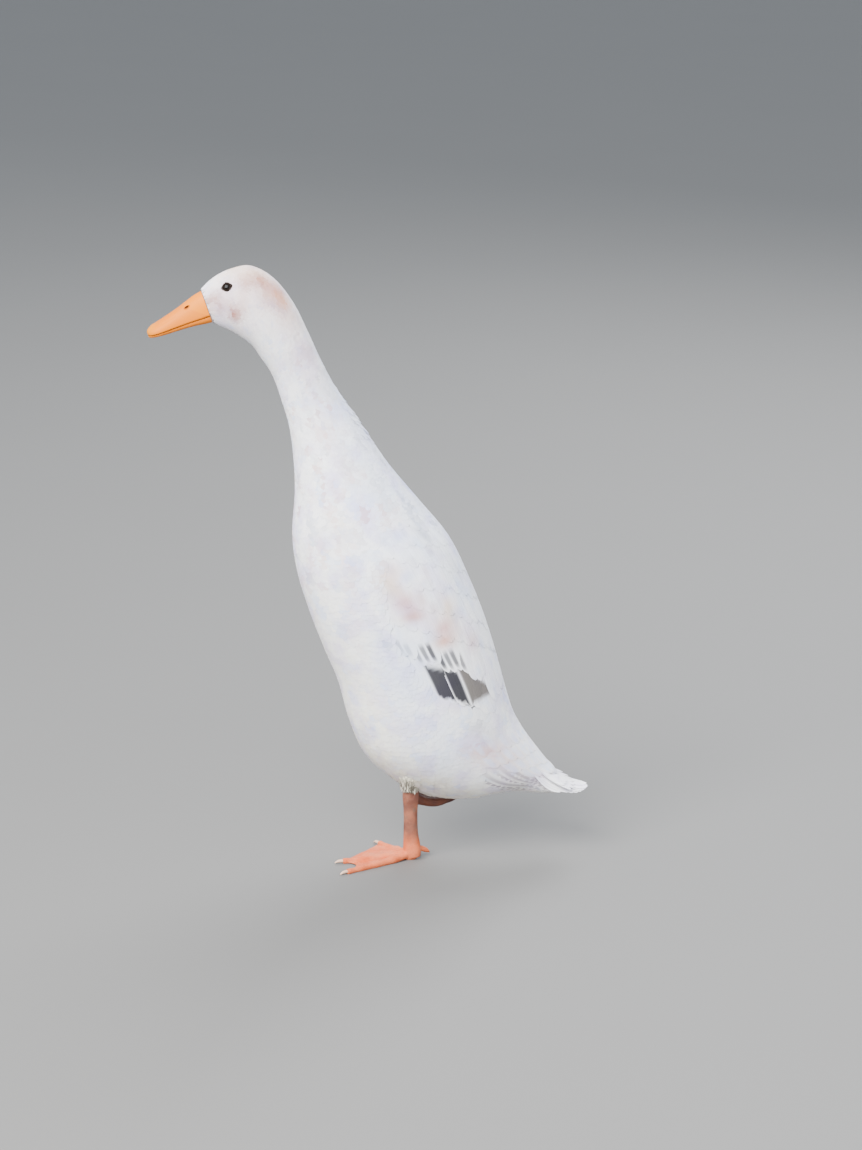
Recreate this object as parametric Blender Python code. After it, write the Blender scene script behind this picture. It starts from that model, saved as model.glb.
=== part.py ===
"""An indian runner duck as a life-size still model, standing on its left foot with the right one tucked up.

Metres, +Z up. The bill points to -X and the duck's left side is -Y. The origin is on the floor, below the
middle of the duck's length and width.
"""

import math
from collections import namedtuple

import bmesh
import bpy
import numpy as np
from mathutils import Matrix, Vector

MM = 0.001
GAP = 0.3 * MM  # between pieces that meet face to face
ORIGIN_X = -36.2  # mm from the origin of the tables below to the middle of the duck's length

# Finishes: colour, roughness, metallic
PLUMAGE = ((0.86, 0.84, 0.80), 0.75, 0.0)
FLIGHT_FEATHERS = ((0.78, 0.74, 0.70), 0.65, 0.0)
BILL_HORN = ((0.90, 0.42, 0.08), 0.40, 0.0)
LEG_SKIN = ((0.88, 0.33, 0.13), 0.55, 0.0)
EYE = ((0.02, 0.015, 0.015), 0.08, 0.0)

# Stations of the body's outline in the side view, from the bill's base to the tail's tip.
# back and belly are (x, z) in mm from a point on the floor near the left heel, and width is the half
# width there. fullness widens a section towards the back, or towards the belly where it is negative.
Station = namedtuple("Station", "name back belly width fullness")
STATIONS = (
    Station("bill_base", (-192.4, 537.2), (-181.8, 507.0), 12.6, -0.05),
    Station("brow", (-181.0, 547.5), (-172.0, 502.5), 16.0, -0.10),
    Station("eye", (-166.0, 555.0), (-163.0, 498.0), 19.0, -0.14),
    Station("crown", (-148.0, 557.5), (-154.0, 492.0), 21.3, -0.12),
    Station("nape", (-128.0, 546.5), (-146.0, 485.0), 21.6, -0.06),
    Station("throat", (-110.5, 524.5), (-139.0, 474.5), 20.2, 0.0),
    Station("neck_top", (-97.5, 498.5), (-132.0, 464.5), 18.6, 0.0),
    Station("neck_slim", (-86.5, 474.5), (-126.0, 452.0), 17.6, 0.0),
    Station("neck_middle", (-74.0, 450.5), (-120.0, 433.5), 18.4, 0.0),
    Station("neck_low", (-59.0, 428.0), (-114.0, 413.5), 21.5, 0.0),
    Station("neck_base", (-42.0, 403.0), (-110.0, 387.0), 27.5, 0.02),
    Station("shoulder", (-22.0, 374.0), (-108.0, 351.5), 37.0, 0.04),
    Station("crop", (5.0, 341.5), (-110.0, 309.5), 48.5, 0.04),
    Station("breast", (33.0, 307.0), (-105.0, 274.5), 57.0, 0.02),
    Station("ribs", (52.0, 268.5), (-94.0, 238.5), 61.0, 0.0),
    Station("middle", (67.0, 231.5), (-81.0, 204.5), 62.5, 0.0),
    Station("loin", (79.0, 194.5), (-67.0, 170.5), 62.5, -0.02),
    Station("hip", (88.0, 163.0), (-57.0, 134.5), 61.0, -0.04),
    Station("thigh", (95.5, 140.0), (-43.0, 102.0), 57.5, -0.05),
    Station("belly", (103.5, 124.5), (-19.0, 78.5), 51.5, -0.04),
    Station("vent", (112.0, 112.0), (10.0, 62.0), 44.0, 0.0),
    Station("rump", (120.5, 100.5), (42.0, 55.5), 35.0, 0.05),
    Station("tail_base", (128.5, 90.0), (70.0, 58.0), 26.5, 0.10),
    Station("tail_root", (136.5, 81.5), (93.0, 60.0), 20.0, 0.15),
    Station("tail_core", (144.0, 68.0), (117.0, 58.5), 17.0, 0.15),
    Station("tail_tip", (153.0, 62.5), (139.0, 57.5), 13.0, 0.15),
)
INDEX = {station.name: i for i, station in enumerate(STATIONS)}

# The folded wings lie in a shallow bed in the torso's sides.
BED_DEPTH = 5.5 * MM
BED_START = (11.3, 12.9)
BED_END = (17.2, 18.9)
BED_EDGE = (math.radians(98), math.radians(128))

# The arm and hand of a folded wing, which its feathers grow from: station, angle of the upper and lower
# edge from the back in degrees.
WING_ARM = (
    (11.75, 42, 60),
    (12.3, 24, 84),
    (13.0, 13, 100),
    (14.0, 6, 108),
    (14.7, 5, 106),
    (15.4, 4, 96),
    (16.0, 4, 84),
    (16.6, 5, 66),
    (17.1, 7, 48),
    (17.5, 12, 34),
)
ARM_THICKNESS = 1.8
ARM_SINK = 2.0  # mm that its underside lies below the bed, before the torso's room is cut out
ARM_MARGIN = 4  # degrees that the roots of feathers keep from its edges
ARM_GRID = (10, 6)
# Rows of a wing's feathers, from the lowest layer to the top one. first and last are the tips of the
# row's outer feathers, as station and angle from the back, length is in stations, width in mm, and rise
# is the height of a tip over the bed in mm. drift turns the roots away from the back, in degrees.
Row = namedtuple("Row", "name count first last length width rise drift")
WING_ROWS = (
    Row("primaries", 3, (17.7, 33), (18.15, 19), 2.0, 9.5, 2.4, 6),
    Row("secondaries", 7, (16.05, 89), (17.15, 41), 1.75, 11.0, 4.0, 6),
    Row("greater_coverts", 7, (14.6, 105), (15.75, 41), 1.35, 13.0, 4.6, 3),
    Row("median_coverts", 6, (13.75, 104), (14.75, 39), 1.15, 15.5, 4.4, 2),
    Row("lesser_coverts", 5, (12.95, 98), (13.9, 37), 1.05, 17.0, 4.0, 1),
    Row("marginal_coverts", 4, (12.35, 82), (13.0, 35), 0.8, 15.0, 3.2, 0),
    Row("tertials", 3, (17.1, 34), (16.65, 13), 2.3, 14.5, 5.8, 2),
    Row("long_scapulars", 3, (15.55, 27), (15.9, 11), 1.7, 15.0, 6.6, 2),
    Row("middle_scapulars", 3, (14.35, 26), (14.75, 9), 1.4, 14.5, 5.8, 2),
    Row("short_scapulars", 2, (13.35, 23), (13.65, 11), 1.15, 15.0, 4.6, 2),
)
ROOT_SINK = 0.8  # mm that a feather's root lies under the arm's surface
VANE_SHARES = (0.0, 0.45, 0.82, 1.0)
VANE_WIDTHS = (0.36, 0.78, 1.0, 0.36)
VANE_TILT = (0.0, 0.7, 1.0, 1.0)
VANE_RIB = 0.25  # mm that the middle of a vane stands up
TILT = 1.15  # mm that the outer edge of a wing's vane stands up, and its inner edge lies down
VANE_THICKNESS = (0.8, 0.55)  # mm at the root and at the tip

# The tail's fan lies on a roof whose ridge drops and flattens towards the tip.
TAIL_PAIRS = 6
TAIL_TIP = (168.0, 63.0)
TAIL_RISE = (0.12, 0.0095)
TAIL_SLOPE = (0.50, 0.12)
TAIL_SLOPE_ENDS = (118.0, 146.0)
TAIL_RIDGE = 6.0
TAIL_STEP = 0.95  # mm between two feathers that lie on each other
# root x, tip's pull-back for each pair, root and tip distance from the middle for each pair
TAIL_ROOT_X = 108.0
TAIL_PULL = (3.2, 0.6)
TAIL_ROOT_SPREAD = (1.5, 2.3)
TAIL_TIP_SPREAD = (3.2, 5.7)
TAIL_VANE = 9.0
TAIL_PARTING = 0.4  # mm from the middle to the inner edges of the lower pairs
# tips of the coverts, how far out their roots are for each mm of the tip's, and their lift
TAIL_COVERTS = ((149.0, 0.0), (145.0, -12.0), (145.0, 12.0))
TAIL_COVERT_ROOTS = 0.55
TAIL_COVERT_LIFT = 1.2

# The bill, in its own frame: from the gape along the line of the mouth to the tip, and up from there.
GAPE = (-186.0, 514.5)
BILL_DROP = math.radians(19.3)
BILL_BASE = -1.5
# station along the mouth, height of the culmen, half width, depth of the lower mandible, all in mm
BILL_STATIONS = (
    (0.0, 21.6, 12.0, 7.0),
    (6.0, 20.2, 11.6, 6.2),
    (13.0, 18.1, 10.9, 5.2),
    (22.0, 15.4, 10.4, 4.4),
    (31.0, 12.8, 10.8, 3.9),
    (40.0, 10.2, 11.4, 3.5),
    (46.5, 8.2, 11.2, 3.0),
    (51.0, 6.6, 9.6, 2.5),
    (54.0, 5.0, 6.8, 2.0),
    (55.8, 3.2, 3.4, 1.4),
)
MOUTH_GAP = 0.5 * MM
NOSTRIL = (15.5, 13.6)
NOSTRIL_SIDE = 6.2
NOSTRIL_SIZE = (3.4, 2.2, 1.5)
NOSTRIL_TURN = -math.radians(30)
NAIL = (51.0, 5.6)
NAIL_SIZE = (5.2, 4.0, 2.0)
NAIL_TURN = -math.radians(32)

EYE_AT = (-170.5, 541.5)
EYE_RADIUS = 5.9 * MM
EYE_SINK = 4.3 * MM
LID_SIZE = (5.9, 4.9)
LID_HEIGHT = 2.3
LID_SLANT = Vector((1.0, 0.0, 0.25))

# A leg's frame: its foot on or off the floor, the way up its shank, and the way its toes point when it
# stands. Lengths in mm.
Leg = namedtuple("Leg", "foot up ahead")
LEGS = {
    "left": Leg(Vector((2.2, -14.5, 0.0)), Vector((0.0, -0.105, 0.994)), Vector((-1.0, 0.0, 0.0))),
    "right": Leg(Vector((0.0, 16.0, 54.0)), Vector((0.600, 0.080, 0.796)), Vector((0.799, 0.0, -0.602))),
}
# distance up the leg, shift towards the toes, half depth and half width of the bare shank
SHANK_STATIONS = (
    (13.3, 0.5, 8.2, 6.2),
    (18.0, 1.0, 7.6, 5.4),
    (26.0, 1.8, 6.9, 4.8),
    (38.0, 2.4, 6.5, 4.6),
    (50.0, 2.8, 6.6, 4.7),
    (58.0, 3.0, 7.1, 5.4),
    (65.0, 3.1, 7.6, 6.1),
    (73.0, 3.2, 7.5, 6.0),
)
# the same for the standing leg's feathered thigh
THIGH_STATIONS = (
    (73.3, 3.2, 8.6, 7.2),
    (77.0, 3.0, 9.8, 8.6),
    (82.0, 1.6, 13.0, 11.0),
    (89.0, -1.5, 19.0, 15.0),
    (103.0, -6.0, 27.0, 17.0),
)
ANKLE_STATIONS = ((3.0, 0.0, 8.0, 6.5), (8.0, 0.2, 8.6, 6.9), (13.0, 0.5, 8.0, 6.2))
STUB_STATIONS = SHANK_STATIONS[1:4]  # what the tucked foot keeps of its shank, up into the belly
# Toes: turn from straight ahead towards the duck's middle, length, radius at root and tip, joints
Toe = namedtuple("Toe", "turn length root tip joints")
TOES = (
    Toe(math.radians(54), 45.0, 4.0, 2.4, (0.45, 0.97)),
    Toe(math.radians(-6.3), 66.0, 4.6, 2.5, (0.38, 0.7, 0.97)),
    Toe(math.radians(-27.8), 73.0, 4.3, 2.4, (0.3, 0.55, 0.78, 0.97)),
)
KNUCKLE = (1.08, 0.94)  # a toe's thickness at a joint and between two joints
JOINT_REACH = 0.11
TOE_SINK = 0.35  # share of a toe's radius that is flattened by the floor
ANKLE_RISE = 5.0
# share along the claw, height over the sole and radius
CLAW_STATIONS = ((-0.3, 2.0, 1.6), (0.4, 2.3, 1.45), (0.75, 1.7, 1.0), (1.0, 0.75, 0.4))
CLAW_LENGTH = 7.5
WEB_THICKNESS = 1.5
WEB_HEIGHT = 1.3
WEB_NOTCH = 0.84
PAD_SIZE = (9.0, 7.5, 4.5)
# distance behind the heel, towards the middle, height and radius
HALLUX_STATIONS = ((4.0, 2.0, 9.5, 2.6), (9.2, 3.0, 8.2, 2.7), (13.8, 4.0, 6.0, 2.2), (17.0, 4.6, 3.6, 0.6))
# The tucked foot's closed toes: points along a toe and radii, and the toes' places across
FOLDED_TOE = ((4.0, 55.0, 4.8), (8.5, 50.0, 5.0), (18.0, 47.0, 4.4), (29.0, 45.5, 4.4),
              (39.0, 46.0, 3.6), (46.0, 48.0, 2.4), (50.0, 50.5, 0.8))
FOLDED_TOES_AT = ((10.5, 0.82), (16.0, 1.0), (21.5, 0.92))


def x_of(x_mm):
    """A length of the tables above in mm, as a place in the model's frame."""
    return (x_mm - ORIGIN_X) * MM


def clear_scene():
    for obj in list(bpy.data.objects):
        bpy.data.objects.remove(obj)
    for name in ("indian_runner_duck", "cutters"):
        bpy.context.scene.collection.children.link(bpy.data.collections.new(name))


def material(name, finish):
    colour, roughness, metallic = finish
    made = bpy.data.materials.new(name)
    made.use_nodes = True
    shader = made.node_tree.nodes["Principled BSDF"]
    shader.inputs["Base Color"].default_value = (*colour, 1.0)
    shader.inputs["Roughness"].default_value = roughness
    shader.inputs["Metallic"].default_value = metallic
    return made


def smooth_step(value, start, end):
    share = np.clip((np.asarray(value, float) - start) / (end - start), 0, 1)
    return share * share * (3 - 2 * share)


def outline_rows():
    """The stations as rows of back x and z, belly x and z, half width in metres, and fullness."""
    rows = []
    for station in STATIONS:
        places = [x_of(station.back[0]), station.back[1] * MM]
        places += [x_of(station.belly[0]), station.belly[1] * MM]
        rows.append([*places, station.width * MM, station.fullness])
    return np.array(rows)


ROWS = outline_rows()


def row_at(s):
    """The outline between stations, on a smooth curve through them."""
    last = len(ROWS) - 1
    i = np.clip(np.floor(s).astype(int), 0, last - 1)
    f = (s - i)[:, None]
    before, start = ROWS[np.maximum(i - 1, 0)], ROWS[i]
    end, after = ROWS[i + 1], ROWS[np.minimum(i + 2, last)]
    slope = 0.5 * (end - before)
    bend = before - 2.5 * start + 2 * end - 0.5 * after
    twist = 1.5 * (start - end) + 0.5 * (after - before)
    return start + f * (slope + f * (bend + f * twist))


def surface(s, phi, lift=0.0):
    """Points of the duck's outline. s counts stations, phi is the angle from the back round to the belly,
    positive on the right side, and lift is the distance outwards."""
    s, phi, lift = np.broadcast_arrays(np.asarray(s, float), phi, lift)
    shape = s.shape
    s, phi, lift = s.ravel(), phi.ravel(), lift.ravel()
    row = row_at(s)
    back, belly = row[:, 0:2], row[:, 2:4]
    centre = (back + belly) / 2
    depth = np.linalg.norm(back - belly, axis=1) / 2
    up = (back - centre) / depth[:, None]
    width = row[:, 4]
    cos, sin = np.cos(phi), np.sin(phi)
    normal = np.stack([cos / depth, sin / width], axis=1)
    normal /= np.linalg.norm(normal, axis=1)[:, None]
    rise = depth * cos + lift * normal[:, 0]
    side = width * sin * (1 + row[:, 5] * cos) + lift * normal[:, 1]
    points = np.stack([centre[:, 0] + up[:, 0] * rise, side, centre[:, 1] + up[:, 1] * rise], axis=1)
    return points.reshape(*shape, 3)


def bed(s, phi):
    """How deep the wing's bed is at a place on the body."""
    along = smooth_step(s, *BED_START) * (1 - smooth_step(s, *BED_END))
    around = 1 - smooth_step(np.abs(phi), *BED_EDGE)
    return BED_DEPTH * along * around


def station_of(x, z):
    """The station and angle of the head's surface that show at (x, z) in the side view."""
    s, phi = np.meshgrid(np.linspace(0, 6, 241), np.radians(np.linspace(1, 179, 179)), indexing="ij")
    points = surface(s, phi)
    far = (points[..., 0] - x) ** 2 + (points[..., 2] - z) ** 2
    i = np.unravel_index(np.argmin(far), far.shape)
    return s[i], phi[i]


def add_object(name, bm, finish):
    """A mesh object of a bmesh: a part of the duck where it has a finish, and otherwise a cutter."""
    bmesh.ops.recalc_face_normals(bm, faces=bm.faces)
    mesh = bpy.data.meshes.new(name)
    bm.to_mesh(mesh)
    bm.free()
    obj = bpy.data.objects.new(name, mesh)
    if finish:
        bpy.data.collections["indian_runner_duck"].objects.link(obj)
        mesh.materials.append(material(name, finish))
    else:
        bpy.data.collections["cutters"].objects.link(obj)
        obj.hide_render = True
        obj.display_type = "WIRE"
    return obj


def loft(name, rings, finish=None):
    """A closed body through rings of points, with flat ends."""
    bm = bmesh.new()
    loops = [[bm.verts.new(point) for point in ring] for ring in rings]
    count = len(loops[0])
    for near, far in zip(loops, loops[1:]):
        for i in range(count):
            j = (i + 1) % count
            bm.faces.new((near[i], near[j], far[j], far[i]))
    bm.faces.new(loops[0])
    bm.faces.new(loops[-1])
    return add_object(name, bm, finish)


def slab(name, outer, inner, finish=None):
    """A closed plate between two grids of points, with both faces split into triangles alike."""
    rows, columns = outer.shape[:2]
    bm = bmesh.new()
    sheet = bmesh.ops.create_grid(bm, x_segments=columns - 1, y_segments=rows - 1, size=1.0)["verts"]
    place = {vert: (round((vert.co.y + 1) / 2 * (rows - 1)), round((vert.co.x + 1) / 2 * (columns - 1)))
             for vert in sheet}
    bmesh.ops.triangulate(bm, faces=bm.faces)
    extruded = bmesh.ops.extrude_face_region(bm, geom=list(bm.faces), use_keep_orig=True)["geom"]
    moved = [item for item in extruded if isinstance(item, bmesh.types.BMVert)]
    for vert in moved:
        i = round((vert.co.y + 1) / 2 * (rows - 1))
        j = round((vert.co.x + 1) / 2 * (columns - 1))
        vert.co = outer[i, j]
    for vert, (i, j) in place.items():
        vert.co = inner[i, j]
    return add_object(name, bm, finish)


def ellipse(centre, across, up, count):
    """A ring of points round a centre, from two half axes given as vectors."""
    angles = [2 * math.pi * i / count for i in range(count)]
    return [centre + across * math.sin(a) + up * math.cos(a) for a in angles]


def ball(name, size, place, finish=None, segments=12, rings=8):
    """A ball with half sizes along its axes, put in place by a matrix."""
    bm = bmesh.new()
    bmesh.ops.create_uvsphere(bm, u_segments=segments, v_segments=rings, radius=1.0)
    bmesh.ops.scale(bm, vec=Vector(size), verts=bm.verts)
    bmesh.ops.transform(bm, matrix=place, verts=bm.verts)
    return add_object(name, bm, finish)


def tube(name, points, radii, resolution=2):
    """A tube along points, round at each with its own radius, as a closed mesh."""
    curve = bpy.data.curves.new(name, "CURVE")
    curve.dimensions = "3D"
    curve.bevel_depth = 1.0
    curve.bevel_resolution = resolution
    curve.use_fill_caps = True
    spline = curve.splines.new("POLY")
    spline.points.add(len(points) - 1)
    for point, place, radius in zip(spline.points, points, radii):
        point.co = (*place, 1.0)
        point.radius = radius
    guide = bpy.data.objects.new(name, curve)
    bpy.data.collections["cutters"].objects.link(guide)
    graph = bpy.context.evaluated_depsgraph_get()
    mesh = bpy.data.meshes.new_from_object(guide.evaluated_get(graph))
    bpy.data.objects.remove(guide)
    bm = bmesh.new()
    bm.from_mesh(mesh)
    bmesh.ops.remove_doubles(bm, verts=bm.verts, dist=0.01 * MM)
    return add_object(name, bm, None)


def combine(target, pieces, operation="UNION", solver="EXACT"):
    """Joins pieces to a body, or cuts them from it, in one Boolean, and removes them."""
    group = bpy.data.collections.new(target.name + "_" + operation.lower())
    bpy.data.collections["cutters"].children.link(group)
    for piece in pieces:
        group.objects.link(piece)
    modifier = target.modifiers.new(operation.title(), "BOOLEAN")
    modifier.operation = operation
    modifier.operand_type = "COLLECTION"
    modifier.collection = group
    modifier.solver = solver
    bpy.context.view_layer.objects.active = target
    bpy.ops.object.modifier_apply(modifier=modifier.name)
    for piece in pieces:
        bpy.data.objects.remove(piece)
    bpy.data.collections.remove(group)
    keep_largest(target)
    return target


def keep_largest(obj):
    """Drops every closed surface of a mesh but the largest."""
    bm = bmesh.new()
    bm.from_mesh(obj.data)
    unseen, groups = set(bm.verts), []
    while unseen:
        stack, group = [unseen.pop()], []
        while stack:
            vert = stack.pop()
            group.append(vert)
            near = {edge.other_vert(vert) for edge in vert.link_edges} & unseen
            unseen -= near
            stack.extend(near)
        groups.append(group)
    groups.sort(key=len)
    bmesh.ops.delete(bm, geom=[v for group in groups[:-1] for v in group], context="VERTS")
    bm.to_mesh(obj.data)
    bm.free()


def body_length(name, start, end, rings, segments, finish, lift=0.0, trim=GAP / 2):
    """A length of the body between two stations, shorter at both ends by trim."""
    s = np.linspace(start, end, rings)
    middle = (surface(s, 0.0) + surface(s, math.pi)) / 2
    steps = np.linalg.norm(np.diff(middle, axis=0), axis=1)
    s[0] += trim / steps[0] * (s[1] - s[0])
    s[-1] -= trim / steps[-1] * (s[-1] - s[-2])
    phi = 2 * math.pi * np.arange(segments) / segments
    signed = np.where(phi > math.pi, phi - 2 * math.pi, phi)
    ss, pp = np.meshgrid(s, signed, indexing="ij")
    return loft(name, surface(ss, pp, lift - bed(ss, pp)), finish)


def build_torso(name, finish, lift=0.0):
    return body_length(name, INDEX["neck_base"] + 0.5, INDEX["tail_root"], 23, 28, finish, lift)


def bill_point(along, rise, side=0.0):
    """A point in the bill's frame, in mm, as a place in the model's frame."""
    x = GAPE[0] - along * math.cos(BILL_DROP) - rise * math.sin(BILL_DROP)
    z = GAPE[1] - along * math.sin(BILL_DROP) + rise * math.cos(BILL_DROP)
    return Vector((x_of(x), side * MM, z * MM))


def upper_bill_ring(along, height, width):
    """A domed section over the line of the mouth, with a rolled edge."""
    steps = 9
    ring = []
    for i in range(steps):
        angle = math.pi * i / (steps - 1)
        side = width * math.copysign(abs(math.cos(angle)) ** 0.85, math.cos(angle))
        ring.append(bill_point(along, 0.9 + (height - 0.9) * math.sin(angle) ** 0.9, side))
    edge = width * 0.93
    return ring + [bill_point(along, 0.0, -edge), bill_point(along, 0.7, 0.0), bill_point(along, 0.0, edge)]


def lower_bill_ring(along, depth, width):
    """A shallow trough under the line of the mouth."""
    top = -MOUTH_GAP / MM
    low = top - depth
    inner = width * 0.86
    sides = ((inner, top), (0.0, top + 0.4), (-inner, top), (-inner * 0.98, top - depth * 0.35))
    keel = ((-inner * 0.7, low * 0.96), (0.0, low), (inner * 0.7, low * 0.96), (inner * 0.98, top - depth * 0.35))
    return [bill_point(along, rise, side) for side, rise in sides + keel]


def build_bill():
    stations = [(BILL_BASE + GAP / MM, *BILL_STATIONS[0][1:]), *BILL_STATIONS[1:]]
    upper = loft("bill_upper", [upper_bill_ring(a, h, w) for a, h, w, _ in stations], BILL_HORN)
    turn = Matrix.Rotation(NAIL_TURN, 4, "Y")
    nail = ball("nail", [v * MM for v in NAIL_SIZE], Matrix.Translation(bill_point(*NAIL)) @ turn)
    combine(upper, [nail])
    turn = Matrix.Rotation(NOSTRIL_TURN, 4, "Y")
    nostrils = []
    for side in (-1, 1):
        place = Matrix.Translation(bill_point(*NOSTRIL, side * NOSTRIL_SIDE)) @ turn
        nostrils.append(ball("nostril", [v * MM for v in NOSTRIL_SIZE], place))
    combine(upper, nostrils, "DIFFERENCE")
    loft("bill_lower", [lower_bill_ring(a, d, w) for a, _, w, d in stations], BILL_HORN)


def eye_frame(side):
    """A matrix at an eye's place on the head, with its Z looking out and its X along the lids."""
    s, phi = station_of(x_of(EYE_AT[0]), EYE_AT[1] * MM)
    place = Vector(surface(s, side * phi))
    ahead = Vector(surface(s + 0.1, side * phi)) - Vector(surface(s - 0.1, side * phi))
    round_head = Vector(surface(s, side * (phi + 0.05))) - Vector(surface(s, side * (phi - 0.05)))
    out = ahead.cross(round_head).normalized()
    if out.y * side < 0:
        out = -out
    along = (LID_SLANT - out * out.dot(LID_SLANT)).normalized()
    turn = Matrix((along, out.cross(along), out)).transposed()
    return Matrix.Translation(place) @ turn.to_4x4()


def build_head():
    head = body_length("head", 0, INDEX["neck_top"] - 0.4, 14, 24, PLUMAGE)
    lids, sockets = [], []
    for side, label in ((-1, "left"), (1, "right")):
        frame = eye_frame(side)
        lid = (LID_SIZE[0] * MM, LID_SIZE[1] * MM, LID_HEIGHT * MM)
        lids.append(ball("lid_" + label, lid, frame, None, 12, 6))
        centre = frame @ Matrix.Translation((0, 0, -EYE_SINK))
        sockets.append(ball("socket_" + label, [EYE_RADIUS + GAP] * 3, centre, None, 14, 9))
        ball("eye_" + label, [EYE_RADIUS] * 3, centre, EYE, 14, 9)
    combine(head, lids)
    combine(head, sockets, "DIFFERENCE")


def vane_slab(name, place, turn):
    """A feather's vane as a thin plate, whose outer edge is lifted by turn at the tip. place(share along,
    share across, lift) gives its points."""
    across = np.array([-1.0, 0.0, 1.0])
    outer = np.zeros((len(VANE_SHARES), len(across), 3))
    inner = np.zeros_like(outer)
    for i, (share, width, tilt) in enumerate(zip(VANE_SHARES, VANE_WIDTHS, VANE_TILT)):
        half = (VANE_THICKNESS[0] + (VANE_THICKNESS[1] - VANE_THICKNESS[0]) * share) / 2
        for j, side in enumerate(across):
            lift = turn * tilt * side + VANE_RIB * (1 - abs(side))
            outer[i, j] = place(share, side * width, lift + half)
            inner[i, j] = place(share, side * width, lift - half)
    return slab(name, outer, inner)


def wing_vane(row, share, side, arm):
    """One feather of a row, from its root in the arm to its tip."""
    tip_s = row.first[0] + (row.last[0] - row.first[0]) * share
    tip_phi = row.first[1] + (row.last[1] - row.first[1]) * share
    root_s = tip_s - row.length
    root_phi = tip_phi + row.drift
    edge_low, edge_high = (np.interp(root_s, arm[:, 0], arm[:, i]) for i in (1, 2))
    root_phi = min(max(root_phi, edge_low + ARM_MARGIN), edge_high - ARM_MARGIN)

    def place(along, across, lift):
        s = root_s + (tip_s - root_s) * along
        phi = math.radians(root_phi + (tip_phi - root_phi) * along)
        chord = np.linalg.norm(surface(s, phi + 0.05) - surface(s, phi - 0.05)) / 0.1
        phi += across * row.width / 2 * MM / chord
        rise = (ARM_THICKNESS - ROOT_SINK) * (1 - along) + row.rise * along + lift
        return surface(s, side * phi, rise * MM - bed(s, phi))

    return vane_slab(row.name, place, TILT)


def build_wing(label, side):
    """A folded wing: its arm, with tiers of feathers that overlap like shingles."""
    arm = np.array(WING_ARM)
    s = np.linspace(arm[0, 0], arm[-1, 0], ARM_GRID[0])
    top, low = (np.interp(s, arm[:, 0], arm[:, i]) for i in (1, 2))
    share = np.linspace(0, 1, ARM_GRID[1])
    phi = np.radians(top[:, None] + (low - top)[:, None] * share)
    ss = np.broadcast_to(s[:, None], phi.shape)
    edge = 1 - np.abs(2 * share - 1) ** 4
    outer = surface(ss, side * phi, ARM_THICKNESS * MM * (0.5 + 0.5 * edge) - bed(ss, phi))
    inner = surface(ss, side * phi, -ARM_SINK * MM - bed(ss, phi))
    wing = slab("wing_" + label, outer, inner, FLIGHT_FEATHERS)
    vanes = []
    for row in WING_ROWS:
        vanes += [wing_vane(row, i / (row.count - 1), side, arm) for i in range(row.count)]
    combine(wing, vanes)
    return combine(wing, [build_torso("wing_room", None, GAP)], "DIFFERENCE")


def tail_point(x, y, lift):
    """A point over the tail's roof, in mm, as a place in the model's frame."""
    back = max(TAIL_TIP[0] - x, 0.0)
    ridge = TAIL_TIP[1] + TAIL_RISE[0] * back + TAIL_RISE[1] * back**2
    slope = TAIL_SLOPE[0] + (TAIL_SLOPE[1] - TAIL_SLOPE[0]) * float(smooth_step(x, *TAIL_SLOPE_ENDS))
    drop = slope * (math.hypot(y, TAIL_RIDGE) - TAIL_RIDGE)
    return np.array((x_of(x), y * MM, (ridge - drop + lift) * MM))


def tail_vane(name, root, tip, width, lift, inner_edge):
    """One feather of the fan, kept clear of the middle on its inner side."""
    def place(along, across, rise):
        x = root[0] + (tip[0] - root[0]) * along
        middle = root[1] + (tip[1] - root[1]) * along
        y = middle + across * width
        if inner_edge > 0:
            y = max(y, inner_edge) if middle > 0 else min(y, -inner_edge)
        return tail_point(x, y, lift + rise)

    return vane_slab(name, place, 0.0)


def build_tail():
    """The tail: a short core with a fan of feathers roofed over it, and coverts on their roots."""
    start = INDEX["tail_root"]
    core = body_length("tail", start, INDEX["tail_tip"] - 0.3, 6, 16, FLIGHT_FEATHERS)
    vanes = []
    for pair in range(TAIL_PAIRS):
        for side in (1, -1):
            depth = -TAIL_STEP * (pair + (1 if pair or side < 0 else 0))
            root = (TAIL_ROOT_X, side * (TAIL_ROOT_SPREAD[0] + TAIL_ROOT_SPREAD[1] * pair))
            reach = TAIL_TIP[0] - TAIL_PULL[0] * pair - TAIL_PULL[1] * pair**2
            tip = (reach, side * (TAIL_TIP_SPREAD[0] + TAIL_TIP_SPREAD[1] * pair))
            vanes.append(tail_vane("rectrix", root, tip, TAIL_VANE, depth, TAIL_PARTING if pair else 0.0))
    for x, y in TAIL_COVERTS:
        root = (TAIL_ROOT_X, y * TAIL_COVERT_ROOTS)
        lift = TAIL_COVERT_LIFT + (0.0 if y else TAIL_STEP)
        vanes.append(tail_vane("tail_covert", root, (x, y), TAIL_VANE, lift, 0.0))
    combine(core, vanes)
    room = body_length("tail_room", INDEX["rump"], start, 6, 20, None, 30 * MM, -GAP / 2)
    return combine(core, [room], "DIFFERENCE")


def leg_rings(leg, stations, count=14):
    """Rings up a leg, square to its length."""
    side = leg.up.cross(leg.ahead).normalized()
    rings = []
    for height, forward, depth, width in stations:
        centre = leg.foot + leg.up * height + leg.ahead * forward
        centre = Vector((x_of(centre.x), centre.y * MM, centre.z * MM))
        rings.append(ellipse(centre, leg.ahead * depth * MM, side * width * MM, count))
    return rings


def sole_point(turn, distance, height):
    """A point over the standing foot's sole: its turn and distance from the heel, and height."""
    heel = LEGS["left"].foot
    x = heel.x - distance * math.cos(turn)
    y = heel.y + distance * math.sin(turn)
    return Vector((x_of(x), y * MM, height * MM))


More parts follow.
